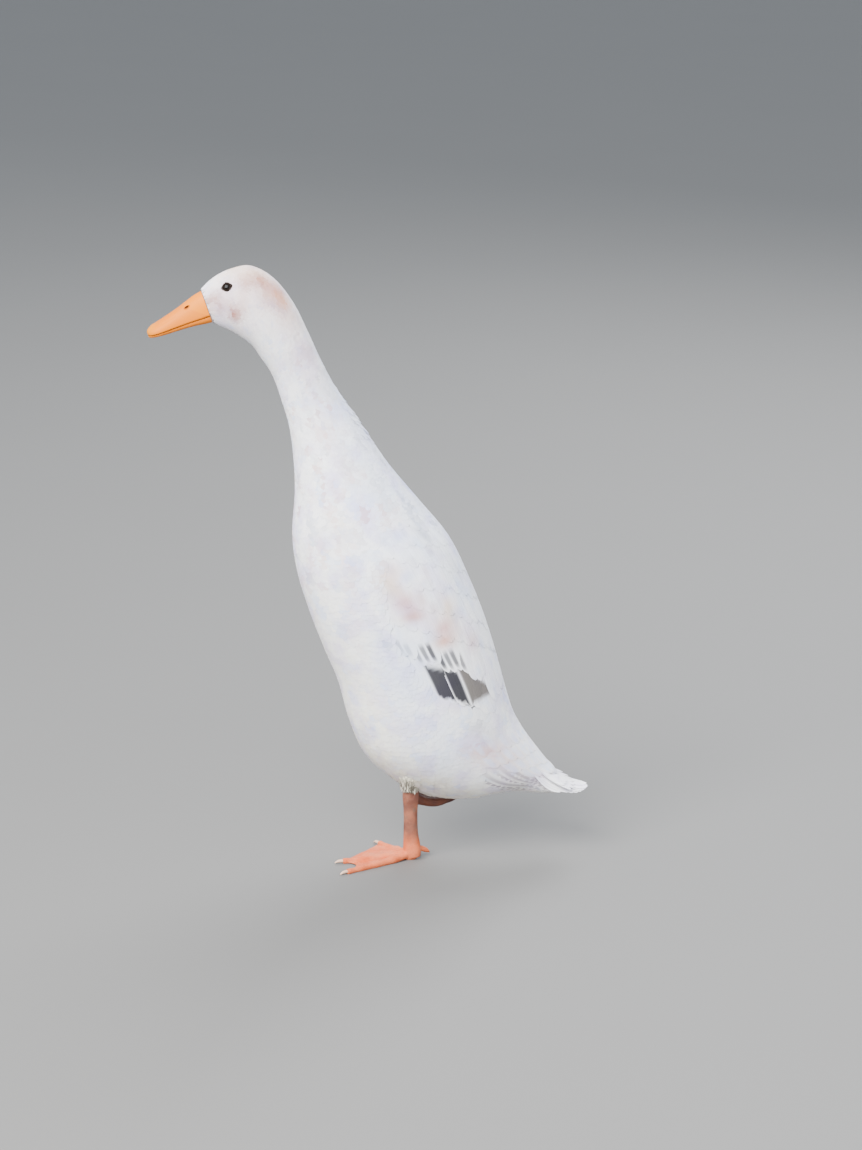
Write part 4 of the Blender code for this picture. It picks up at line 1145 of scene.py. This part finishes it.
def tail_side_colour(row, s, phi, outward, along, rng):
    """The colours of a long feather at the tail's side: a white outer edge along a lavender brown web."""
    colour = plumage_colour(s, phi) * (1 + rng.normal(0, 0.012))
    if row.name == "rectrices":
        web = smooth_step(outward, -0.3, 0.35) * (1 - smooth_step(outward, 0.55, 0.75))
        return blend_colour(colour, WEB, 0.80 * web * band(along, 0.34, 0.95, 0.12) * rng.uniform(0.7, 1.0))
    # painted lilac shade towards the tips of the coverts and rump feathers
    area = band(along, 0.6, 0.93, 0.08) * (1 - smooth_step(np.abs(outward - 0.3), 0.3, 0.6))
    return blend_colour(colour, SHADE_LILAC, 0.55 * area * rng.uniform(0.4, 1.0))


def tail_batches(vanes, seed):
    """The tail's fan, with coverts over its roots."""
    rng = np.random.default_rng(seed)
    feathers = []
    for pair in reversed(range(TAIL_PAIRS)):
        for side in (1, -1):
            lift = -TAIL_STEP * (pair + (0.5 if side < 0 else 0))
            root = (TAIL_ROOT_X, side * (TAIL_ROOT_SPREAD[0] + TAIL_ROOT_SPREAD[1] * pair))
            reach = TAIL_TIP[0] - TAIL_PULL[0] * pair - TAIL_PULL[1] * pair**2
            tip = (reach, side * (TAIL_TIP_SPREAD[0] + TAIL_TIP_SPREAD[1] * pair))
            feathers.append((root, tip, lift, TAIL_WIDTH[0] - TAIL_WIDTH[1] * pair, pair, side))
    for tier, (reach, count, spread) in enumerate(TAIL_COVERT_TIERS):
        for i in range(count):
            y = spread * (2 * i / (count - 1) - 1)
            root = (reach - COVERT_LENGTH, y * COVERT_GATHER)
            tip = (reach - COVERT_CURVE * y * y, y)
            lift = COVERT_LIFT[0] + COVERT_LIFT[1] * tier + 0.1 * rng.normal()
            feathers.append((root, tip, lift, COVERT_WIDTH, 0, math.copysign(1, y)))
    batches = []
    for root, tip, lift, width, pair, side in feathers:
        vane = vanes[rng.integers(0, len(vanes))]
        low, high = np.array([lift - 1.2]) * MM, np.array([lift]) * MM
        points, facing, *_ = lay_feathers(vane, tail_place, np.array([root]), np.array([tip]),
                                          np.array([width * MM]), low, high, np.array([-side * 0.2 * MM]),
                                          np.array([0.3 * MM]))
        spot = np.array([[0.5 + root[1] / 60, (root[0] - 80) / 90 + 0.01 * lift]])
        batches.append((vane, points, facing, tail_colour(vane, pair, rng)[None], spot, LONG_PATCH))
    return batches


# The leg's own surface, for its skin and for the feathers over its top


def leg_surface(leg, table, t, angle, lift=0.0):
    """Points round a leg. t counts the table's rows and angle goes round from the front."""
    t, angle, lift = np.broadcast_arrays(np.asarray(t, float), angle, lift)
    shape = t.shape
    row = smooth_row(np.array(table), np.clip(t.ravel(), 0, len(table) - 1.0001))
    up, ahead, side = (np.array(axis) for axis in (leg.up, leg.ahead, leg.up.cross(leg.ahead).normalized()))
    foot = np.array([x_of(leg.foot.x), leg.foot.y * MM, leg.foot.z * MM])
    over = lift.ravel() / MM
    front = row[:, 1] + (row[:, 2] + over) * np.cos(angle.ravel())
    out = (row[:, 3] + over) * np.sin(angle.ravel())
    points = row[:, :1] * up + front[:, None] * ahead + out[:, None] * side
    return (foot + points * MM).reshape(*shape, 3)


def leg_tube(leg, table, rows):
    """A closed tube round a leg, through the rows of a table."""
    last = len(table) - 1.0001
    return close_tube(mapped_grid(40, rows, lambda u, v: leg_surface(leg, table, v * last, u * math.tau)))


def round_tube(points, radii, columns=14, rows=36, ridge=0.0):
    """A closed tube along points in mm, round at each, with low ridges across its top."""
    table = np.column_stack([np.array(points, float), np.array(radii, float)])
    length = np.linalg.norm(table[-1, :3] - table[0, :3])

    def place(u, v):
        t = v * (len(table) - 1.0001)
        row = smooth_row(table, t)
        after = smooth_row(table, np.minimum(t + 0.05, len(table) - 1.00001))[:, :3]
        ahead = after - smooth_row(table, np.maximum(t - 0.05, 0))[:, :3]
        ahead /= np.linalg.norm(ahead, axis=1)[:, None]
        side = np.cross(ahead, (0.0, 0.0, 1.0))
        side /= np.linalg.norm(side, axis=1)[:, None]
        top = np.cross(side, ahead)
        cos, sin = np.cos(u * math.tau), np.sin(u * math.tau)
        radius = row[:, 3] + ridge * np.abs(np.sin(v * length / RIDGE_PITCH * math.pi)) * np.maximum(0, cos)
        around = cos[:, None] * top + sin[:, None] * side
        points = row[:, :3] + around * radius[:, None]
        return np.stack([x_of(points[:, 0]), points[:, 1] * MM, points[:, 2] * MM], axis=1)

    return close_tube(mapped_grid(columns, rows, place))


def join(pieces):
    """One bmesh of several."""
    whole = pieces[0]
    for piece in pieces[1:]:
        mesh = mesh_of(piece, "part")
        whole.from_mesh(mesh)
        bpy.data.meshes.remove(mesh)
    return whole


def sole_point(turn, distance, height):
    """A point over the standing foot's sole, in mm."""
    heel = LEGS["left"].foot
    return (heel.x - distance * math.cos(turn), heel.y + distance * math.sin(turn), height)


def toe_forms(toe):
    points, radii = [], []
    for share in np.linspace(0, 1, 26):
        radius = toe.root + (toe.tip - toe.root) * share
        bulge = sum(math.exp(-((share - joint) / 0.055) ** 2) for joint in toe.joints)
        radius *= 0.93 + 0.17 * min(bulge, 1.0)
        height = radius * (1 - TOE_SINK) + ANKLE_RISE * (1 - share) ** 6
        points.append(sole_point(toe.turn, toe.length * share, height))
        radii.append(radius)
    return round_tube(points, radii, 14, 120, 0.22)


def claw_form(toe):
    claw = [sole_point(toe.turn, toe.length + CLAW_LENGTH * share, height)
            for share, height, _ in CLAW_STATIONS]
    return round_tube(claw, [radius for _, _, radius in CLAW_STATIONS], 12, 14)


def web_form(first, second):
    """The web between two toes, wrinkled, with its free edge curved in."""
    def place(u, v, lift):
        share = 0.08 + 0.92 * v
        reach = 1 - (1 - WEB_NOTCH) * np.sin(math.pi * u) * share**2
        turn = first.turn + (second.turn - first.turn) * u
        length = (first.length + (second.length - first.length) * u) * 0.97 * share * reach
        wrinkle = 0.28 * np.sin(u * 23 + 2 * np.sin(v * 6)) * np.sin(math.pi * u)
        wrinkle = wrinkle + 0.16 * np.sin(v * 31 + u * 5)
        heel = LEGS["left"].foot
        height = WEB_HEIGHT + lift + wrinkle * (1 if lift > 0 else 0)
        return np.stack([x_of(heel.x - length * np.cos(turn)), (heel.y + length * np.sin(turn)) * MM,
                         height * MM + 0 * u], axis=1)

    bm = mapped_grid(*WEB_CELLS, lambda u, v: place(u, v, WEB_HALF))
    lower = mapped_grid(*WEB_CELLS, lambda u, v: place(u, v, -WEB_HALF))
    originals = list(bm.verts)
    bmesh.ops.extrude_face_region(bm, geom=list(bm.faces), use_keep_orig=True)
    for vert, under in zip(originals, lower.verts):
        vert.co = under.co
    lower.free()
    bmesh.ops.recalc_face_normals(bm, faces=bm.faces)
    return bm


def cuff_batches(leg, table, ring, vanes):
    """Narrow feathers that hang over the top of a leg, with soiled tips."""
    rng = np.random.default_rng(CUFF_SEED)
    last = len(table) - 1

    def place(t, angle, lift=0.0):
        return leg_surface(leg, table, last - np.asarray(t), angle, lift)

    rows = np.linspace(0.15, last - 1.9, 3 * last)
    roots = np.array([(t + rng.normal(0, 0.06), (j + 0.5 * (i % 2) + rng.normal(0, 0.15)) / ring * math.tau)
                      for i, t in enumerate(rows) for j in range(ring)])
    count = len(roots)
    along, _ = stretch(place, np.clip(roots[:, 0], 0.05, last - 0.1), roots[:, 1])
    length = rng.uniform(*CUFF_LENGTH, count) * MM
    tip = roots + np.stack([length / np.maximum(along, 3 * MM), rng.normal(0, 0.14, count)], axis=1)
    tip[:, 0] = np.minimum(tip[:, 0], last - rng.triangular(0.15, 0.6, 1.3, count))
    batches = []
    pick = rng.integers(0, len(vanes), count)
    for i, vane in enumerate(vanes):
        mine = pick == i
        size = mine.sum()
        width = rng.uniform(*CUFF_WIDTH, size) * MM
        high = np.abs(rng.normal(0.5, 0.7, size)) * MM
        low, camber = np.full(size, -1.5 * MM), np.full(size, 0.05 * MM)
        points, facing, *_ = lay_feathers(vane, place, roots[mine], tip[mine], width, low, high,
                                          np.zeros(size), camber)
        tint = np.broadcast_to(np.array(CREAM) * 0.97, (size, len(vane.along), 3))
        tint = tint * (1 + rng.normal(0, 0.05, size))[:, None, None]
        front = 0.5 + 0.5 * smooth_step(np.cos(roots[mine, 1] - 0.5), -0.2, 0.5)
        soiled = smooth_step(tip[mine, 0], last - 3.4, last - 1.8) * front
        soiled = soiled * smooth_step(rng.uniform(0.0, 1.0, size), 0.25, 0.5)
        tint = blend_colour(tint, MUD, 0.96 * soiled[:, None] * vane.along**0.4)
        spot = np.stack([roots[mine, 1] / math.tau % 1, roots[mine, 0] / last], axis=1) * 0.94 + 0.02
        batches.append((vane, points, facing, tint, spot, SMALL_PATCH))
    return batches


# The bill


def bill_place(along, rise, side):
    """Places in the frame for points in the bill's own frame."""
    x = GAPE[0] - along * math.cos(BILL_DROP) - rise * math.sin(BILL_DROP)
    z = GAPE[1] - along * math.sin(BILL_DROP) + rise * math.cos(BILL_DROP)
    return np.stack([x_of(x), side * MM, z * MM], axis=-1)


def bill_row(v):
    return smooth_row(np.array(BILL_STATIONS), v * (len(BILL_STATIONS) - 1.0001))


def upper_bill_shape(u, v):
    """The upper mandible: u goes over the dome and back along its underside, v from the base to the tip."""
    row = bill_row(v)
    along, height, width = row[:, 0], row[:, 1], row[:, 2]
    over = np.clip(u / DOME_SHARE, 0, 1) * math.pi
    cos = np.cos(over)
    dome_side = width * np.sign(cos) * np.abs(cos) ** 0.85
    dome_rise = 0.9 + (height - 0.9) * np.abs(np.sin(over)) ** 0.9
    nail = smooth_step(along, *NAIL_START) * (1 - smooth_step(np.abs(dome_side), *NAIL_SIDES))
    dome_rise = dome_rise + NAIL_RISE * nail
    groove = np.exp(-((np.abs(dome_side) - width * 0.74) / 0.8) ** 2) * smooth_step(along, *GROOVE_START)
    dome_rise = dome_rise - GROOVE_DEPTH * groove * (1 - smooth_step(along, *GROOVE_END))
    pit, _ = nostril_share(along, dome_rise)
    dome_side = dome_side * (1 - NOSTRIL_DEPTH / 7.0 * pit)
    back = np.clip((u - DOME_SHARE) / 0.2, 0, 1)
    under_side = -width * 0.93 * np.cos(back * math.pi)
    under_rise = 0.75 * np.sin(back * math.pi)
    under = u > DOME_SHARE
    return along, np.where(under, under_rise, dome_rise), np.where(under, under_side, dome_side)


def nostril_share(along, rise):
    """How deep a point of the bill's side lies in the nostril, and how dark its painted shade is."""
    a, r = along - NOSTRIL[0], rise - NOSTRIL[1]
    first = a * math.cos(NOSTRIL_TURN) + r * math.sin(NOSTRIL_TURN)
    second = -a * math.sin(NOSTRIL_TURN) + r * math.cos(NOSTRIL_TURN)
    far = np.sqrt((first / NOSTRIL_SIZE[0]) ** 2 + (second / NOSTRIL_SIZE[1]) ** 2)
    return 1 - smooth_step(far, 0.55, 1.15), 1 - smooth_step(far, 0.45, 0.95)


def lower_bill_shape(u, v):
    """The lower mandible: narrower, flat on top and rounded below."""
    row = bill_row(v)
    along, width, depth = row[:, 0], row[:, 2] * 0.86, row[:, 3]
    cos, sin = np.cos(u * math.tau), np.sin(u * math.tau)
    keel = np.where(sin < 0, depth * np.abs(sin) ** 0.8, 0.0)
    rise = -0.5 - keel + 0.4 * np.maximum(sin, 0)
    return along, rise, width * np.sign(cos) * np.abs(cos) ** 0.8


def eye_frame(side):
    """A matrix at an eye's place on the head, with its Z looking out and its X along the lids."""
    s, phi = np.meshgrid(np.linspace(0, 6, 241), np.radians(np.linspace(1, 179, 179)), indexing="ij")
    points = outline(s, phi)
    far = (points[..., 0] - x_of(EYE_AT[0])) ** 2 + (points[..., 2] - EYE_AT[1] * MM) ** 2
    i = np.unravel_index(np.argmin(far), far.shape)
    s, phi = s[i], phi[i]
    place = Vector(outline(s, side * phi))
    ahead = Vector(outline(s + 0.1, side * phi)) - Vector(outline(s - 0.1, side * phi))
    round_head = Vector(outline(s, side * (phi + 0.05))) - Vector(outline(s, side * (phi - 0.05)))
    out = ahead.cross(round_head).normalized()
    if out.y * side < 0:
        out = -out
    along = (LID_SLANT - out * out.dot(LID_SLANT)).normalized()
    turn = Matrix((along, out.cross(along), out)).transposed()
    return Matrix.Translation(place) @ turn.to_4x4()


def eyeball(place):
    """A ball sunk into the head, painted with its pupil, iris and rim."""
    bm = bmesh.new()
    bmesh.ops.create_uvsphere(bm, u_segments=48, v_segments=32, radius=EYE_RADIUS * MM)
    mesh = mesh_of(bm, "eye")
    points = points_of(mesh) / (EYE_RADIUS * MM)
    reach = np.hypot(points[:, 0], points[:, 1])
    colour = np.broadcast_to(np.array(IRIS), (len(points), 3))
    colour = blend_colour(colour, PUPIL, 1 - smooth_step(reach, *PUPIL_EDGE))
    colour = blend_colour(colour, EYE_RIM, smooth_step(reach, *IRIS_EDGE))
    paint(mesh, "tint", colour)
    mesh.transform(place @ Matrix.Translation((0, 0, -EYE_SINK * MM)))
    return mesh


def eyelid(place):
    """A ring round the eye, drawn out to a corner at each end."""
    bm = bmesh.new()
    ring = bmesh.ops.create_circle(bm, segments=12, radius=LID_RADIUS * MM)["verts"]
    bmesh.ops.rotate(bm, matrix=Matrix.Rotation(math.pi / 2, 3, "X"), verts=ring)
    bmesh.ops.translate(bm, vec=(1, 0, 0), verts=ring)
    bmesh.ops.spin(bm, geom=list(bm.verts) + list(bm.edges), cent=(0, 0, 0), axis=(0, 0, 1),
                   angle=math.tau, steps=48, use_merge=True)
    for vert in bm.verts:
        angle = math.atan2(vert.co.y, vert.co.x)
        away = math.hypot(vert.co.x, vert.co.y) - 1.0
        corner = abs(math.cos(angle)) ** 6 * LID_CORNER
        vert.co.x = math.cos(angle) * (LID_SIZE[0] * MM + away + corner * MM)
        vert.co.y = math.sin(angle) * (LID_SIZE[1] * MM + away)
        vert.co.z += LID_LIFT * MM
    bmesh.ops.recalc_face_normals(bm, faces=bm.faces)
    bmesh.ops.transform(bm, matrix=place, verts=bm.verts)
    return mesh_of(bm, "eyelid")


# Settings


def colour_property(name, description, default):
    return FloatVectorProperty(name=name, description=description, subtype="COLOR", size=3, default=default)


class DuckCoatSettings(PropertyGroup):
    """Sizes of the small feathers."""

    feather_length: FloatProperty(name="Length", description="Length of a feather, in spacings", default=3.5)
    feather_width: FloatProperty(name="Width", description="Width of a feather, in spacings", default=2.0)
    variation: FloatProperty(name="Variation", description="Spread of the brightness", default=0.018)
    seed: IntProperty(name="Seed", description="Start of the random draws", default=11)


class DuckColourSettings(PropertyGroup):
    """Colours of the bare parts and of the stage."""

    bill: colour_property("Bill", "Horn of the bill", (0.62, 0.170, 0.0))
    nail: colour_property("Nail", "Horn at the bill's tip", (0.72, 0.36, 0.0))
    foot: colour_property("Foot", "Skin of the toes and webs", (0.56, 0.10, 0.022))
    shank: colour_property("Shank", "Skin of the shank", (0.135, 0.046, 0.030))
    floor: colour_property("Floor", "Floor of the stage", (0.125, 0.122, 0.117))


class DuckStageSettings(PropertyGroup):
    """Light of the stage."""

    key_power: FloatProperty(name="Key", description="Power of the large light, in watts", default=520.0)
    fill_power: FloatProperty(name="Fill", description="Power of the light beside the camera", default=45.0)
    back_power: FloatProperty(name="Back", description="Power of the light behind", default=120.0)
    sky: FloatProperty(name="Sky", description="Strength of the light from all round", default=1.15)


# Operators


class DUCK_OT_skin(Operator):
    """Makes the skin under the coat, in one piece from the bill to the tail, with the top of the left leg"""

    bl_idname = "duck.skin"
    bl_label = "Skin"

    def execute(self, context):
        def place(u, v):
            s, phi = v * SKIN_END, u * math.tau - math.pi
            return outline(s, phi, -(coat_at(s)[0] + SKIN_SINK) * MM - 0.3 * bed(s, phi))

        skin = close_tube(mapped_grid(96, 300, place))
        inner = np.array(THIGH_STATIONS) - (0.0, 0.0, THIGH_SINK, THIGH_SINK)
        skin = fused(join([skin, leg_tube(LEGS["left"], inner, 30)]), "skin", SKIN_VOXEL)
        mesh = mesh_of(skin, "skin")
        paint(mesh, "tint", nearest_colours(points_of(mesh)))
        nodes = ("head", "neck_upper", "neck_lower", "torso", "thigh_left")
        add_piece("skin", mesh, down_finish("down"), "plumage", *nodes)
        return {"FINISHED"}


def nearest_colours(points):
    """The plumage colours at points near the body."""
    s, phi = np.meshgrid(np.linspace(0, LAST, 251), np.linspace(-math.pi, math.pi, 121), indexing="ij")
    where = outline(s, phi, -3 * MM).reshape(-1, 3)
    colours = plumage_colour(s, phi).reshape(-1, 3)
    tree = KDTree(len(where))
    for i, point in enumerate(where):
        tree.insert(point, i)
    tree.balance()
    return np.array([colours[tree.find(point)[1]] for point in points])


class DUCK_OT_coat(Operator):
    """Lays the small feathers over the head, neck and body"""

    bl_idname = "duck.coat"
    bl_label = "Small feathers"

    def execute(self, context):
        settings = context.scene.duck_coat
        materials = {look: feather_finish(look) for look in ("head_plumage", "body_plumage")}
        for i, (name, start, end, blade, look) in enumerate(COAT_PIECES):
            batches = coat_batches(start, end, settings, vanes_of(blade), settings.seed + i)
            add_piece(name, merged_mesh(name, batches), materials[look], "plumage")
        return {"FINISHED"}


class DUCK_OT_leg_feathers(Operator):
    """Lays the feathers over the top of each leg"""

    bl_idname = "duck.leg_feathers"
    bl_label = "Leg feathers"

    def execute(self, context):
        vanes, material = vanes_of(LEG_BLADE), feather_finish("leg_plumage")
        for label, leg in LEGS.items():
            table, ring = CUFFS[label]
            mesh = merged_mesh("leg_feathers_" + label, cuff_batches(leg, table, ring, vanes))
            add_piece("leg_feathers_" + label, mesh, material, "plumage")
        return {"FINISHED"}


class DUCK_OT_wings(Operator):
    """Lays the tiers of feathers of both folded wings"""

    bl_idname = "duck.wings"
    bl_label = "Wings"

    def execute(self, context):
        vanes, material = vanes_of(WING_BLADE), feather_finish("wing_plumage")
        for label, side in SIDES:
            seed = context.scene.duck_coat.seed + 70 + side
            mesh = merged_mesh("wing_" + label, row_batches(WING_ROWS, 10.9, side, vanes, wing_colour, seed))
            add_piece("plumage_wing_" + label, mesh, material, "wing_feathers", "wing_" + label)
        return {"FINISHED"}


class DUCK_OT_tail(Operator):
    """Lays the fan of tail feathers and their coverts"""

    bl_idname = "duck.tail"
    bl_label = "Tail"

    def execute(self, context):
        vanes, material = vanes_of(TAIL_BLADE), feather_finish("tail_plumage")
        seed = context.scene.duck_coat.seed
        batches = tail_batches(vanes, seed + 90)
        for side in (-1, 1):
            batches += row_batches(TAIL_ROWS, 16.6, side, vanes, tail_side_colour, seed + 95 + side)
        mesh = merged_mesh("plumage_tail", batches)
        add_piece("plumage_tail", mesh, material, "wing_feathers", "tail")
        return {"FINISHED"}


class DUCK_OT_bill(Operator):
    """Makes the two mandibles"""

    bl_idname = "duck.bill"
    bl_label = "Bill"

    def execute(self, context):
        material = bill_finish("bill_horn", context.scene.duck_colours)
        for name, shape in (("bill_upper", upper_bill_shape), ("bill_lower", lower_bill_shape)):
            bm = mapped_grid(84, 120, lambda u, v, shape=shape: bill_place(*shape(u, v)))
            mesh = mesh_of(close_tube(bm), name)
            points = points_of(mesh)
            dx, dz = (GAPE[0] - (points[:, 0] / MM + ORIGIN_X)), points[:, 2] / MM - GAPE[1]
            along = dx * math.cos(BILL_DROP) - dz * math.sin(BILL_DROP)
            rise = dx * math.sin(BILL_DROP) + dz * math.cos(BILL_DROP)
            # the nostril's painted shade, on the upper mandible only
            dark = nostril_share(along, rise)[1] if name == "bill_upper" else np.zeros(len(points))
            paint(mesh, "hole", dark)
            add_piece("dressed_" + name, mesh, material, "bill_horn", name)
        return {"FINISHED"}


class DUCK_OT_eyes(Operator):
    """Makes the eyes and their lids"""

    bl_idname = "duck.eyes"
    bl_label = "Eyes"

    def execute(self, context):
        eye_material, lid_material = eye_finish("eye"), lid_finish("eyelid")
        for label, side in SIDES:
            place = eye_frame(side)
            add_piece("dressed_eye_" + label, eyeball(place), eye_material, "eye", "eye_" + label)
            add_piece("eyelid_" + label, eyelid(place), lid_material, "plumage")
        return {"FINISHED"}


class DUCK_OT_legs(Operator):
    """Makes the shanks, the standing foot with its claws, and the tucked foot"""

    bl_idname = "duck.legs"
    bl_label = "Legs"

    def execute(self, context):
        colours = context.scene.duck_colours
        forms = {}
        for label, table in (("left", SHANK_STATIONS), ("right", SHANK_STATIONS[:STUB_ROWS])):
            leg = LEGS[label]
            forms[label] = [leg_tube(leg, table, 120)]
        forms["left"] += [toe_forms(toe) for toe in TOES]
        forms["left"] += [web_form(first, second) for first, second in zip(TOES, TOES[1:])]
        heel = LEGS["left"].foot
        hallux = [(heel.x + behind, heel.y + inward, height) for behind, inward, height, _ in HALLUX_STATIONS]
        forms["left"].append(round_tube(hallux, [radius for *_, radius in HALLUX_STATIONS]))
        pad = [sole_point(0, distance, PAD_HEIGHT) for distance, _ in PAD]
        forms["left"].append(round_tube(pad, [radius for _, radius in PAD], 20, 24))
        for y, scale in FOLDED_TOES_AT:
            start = FOLDED_TOE[0][0]
            points = [(start + (x - start) * scale, y, z) for x, z, _ in FOLDED_TOE]
            forms["right"].append(round_tube(points, [radius for *_, radius in FOLDED_TOE], 14, 60, 0.2))
        # the tucked foot's skin is darkened by 0.72 as painted shade, for the belly's shadow over it
        made = (("left", (0, 0, 0), 0.0, ("shank_left", "foot_left")),
                ("right", (0, math.pi / 3, 0), 0.72, ("foot_right",)))
        for label, turn, shade, nodes in made:
            mesh = standing_mesh(fused(join(forms[label]), "leg", LEG_VOXEL), "leg")
            material = leg_finish("leg_skin_" + label, colours, turn, shade)
            add_piece("leg_" + label, mesh, material, "leg_skin", *nodes)
        claws = standing_mesh(join([claw_form(toe) for toe in TOES]), "claws")
        add_piece("claws_left", claws, claw_finish("claw"), "leg_skin")
        return {"FINISHED"}


class DUCK_OT_stage(Operator):
    """Makes the floor, the lights and the camera"""

    bl_idname = "duck.stage"
    bl_label = "Stage"

    def execute(self, context):
        settings, colours = context.scene.duck_stage, context.scene.duck_colours
        bm = bmesh.new()
        bmesh.ops.create_grid(bm, x_segments=4, y_segments=4, size=30.0)
        mesh = mesh_of(bm, "floor")
        floor = bpy.data.objects.new("floor", mesh)
        context.scene.collection.objects.link(floor)
        mesh.materials.append(floor_finish("floor", colours.floor))
        for name, place, size, colour in LIGHTS:
            light = bpy.data.lights.new(name, "AREA")
            light.energy = getattr(settings, name + "_power")
            light.size = size
            light.color = colour
            obj = bpy.data.objects.new(name, light)
            context.scene.collection.objects.link(obj)
            obj.location = place
            obj.rotation_euler = (LIGHT_TARGET - Vector(place)).to_track_quat("-Z", "Y").to_euler()
        world = bpy.data.worlds.new("sky")
        world.use_nodes = True
        sky = world.node_tree.nodes["Background"].inputs
        sky["Color"].default_value = SKY_COLOUR
        sky["Strength"].default_value = settings.sky
        context.scene.world = world
        self.add_camera(context)
        return {"FINISHED"}

    def add_camera(self, context):
        """The photo's viewpoint."""
        azimuth, elevation, roll = (math.radians(angle) for angle in CAMERA_ANGLES)
        back = Vector((math.sin(azimuth) * math.cos(elevation), -math.cos(azimuth) * math.cos(elevation),
                       math.sin(elevation)))
        right = Vector((0, 0, 1)).cross(back).normalized()
        up = back.cross(right)
        right, up = right * math.cos(roll) + up * math.sin(roll), up * math.cos(roll) - right * math.sin(roll)
        turn = Matrix((right, up, back)).transposed().to_4x4()
        data = bpy.data.cameras.new("camera")
        data.sensor_width = SENSOR
        data.lens = SENSOR * CAMERA_FOCUS / PHOTO_HEIGHT
        data.clip_start = 0.05
        data.clip_end = 200.0
        camera = bpy.data.objects.new("camera", data)
        context.scene.collection.objects.link(camera)
        camera.matrix_world = Matrix.Translation(CAMERA_AT) @ turn
        context.scene.camera = camera


class DUCK_PT_panel(Panel):
    """Buttons and settings of the duck"""

    bl_idname = "DUCK_PT_panel"
    bl_label = "Indian runner duck"
    bl_space_type = "VIEW_3D"
    bl_region_type = "UI"
    bl_category = "Duck"

    def draw(self, context):
        layout = self.layout
        for group in (context.scene.duck_coat, context.scene.duck_colours, context.scene.duck_stage):
            box = layout.box()
            for key in group.bl_rna.properties.keys():
                if key not in {"rna_type", "name"}:
                    box.prop(group, key)
        for operator in OPERATORS:
            layout.operator(operator.bl_idname)


GROUPS = {"duck_coat": DuckCoatSettings, "duck_colours": DuckColourSettings, "duck_stage": DuckStageSettings}
OPERATORS = (DUCK_OT_stage, DUCK_OT_skin, DUCK_OT_coat, DUCK_OT_leg_feathers, DUCK_OT_wings, DUCK_OT_tail,
             DUCK_OT_bill, DUCK_OT_eyes, DUCK_OT_legs)


def register():
    for cls in (*GROUPS.values(), *OPERATORS, DUCK_PT_panel):
        bpy.utils.register_class(cls)
    for name, group in GROUPS.items():
        setattr(bpy.types.Scene, name, PointerProperty(type=group))


def unregister():
    for name in GROUPS:
        delattr(bpy.types.Scene, name)
    for cls in reversed((*GROUPS.values(), *OPERATORS, DUCK_PT_panel)):
        bpy.utils.unregister_class(cls)


def main():
    register()
    bpy.ops.duck.stage()
    bpy.ops.duck.skin()
    bpy.ops.duck.coat()
    bpy.ops.duck.leg_feathers()
    bpy.ops.duck.wings()
    bpy.ops.duck.tail()
    bpy.ops.duck.bill()
    bpy.ops.duck.eyes()
    bpy.ops.duck.legs()


if __name__ == "__main__":
    main()
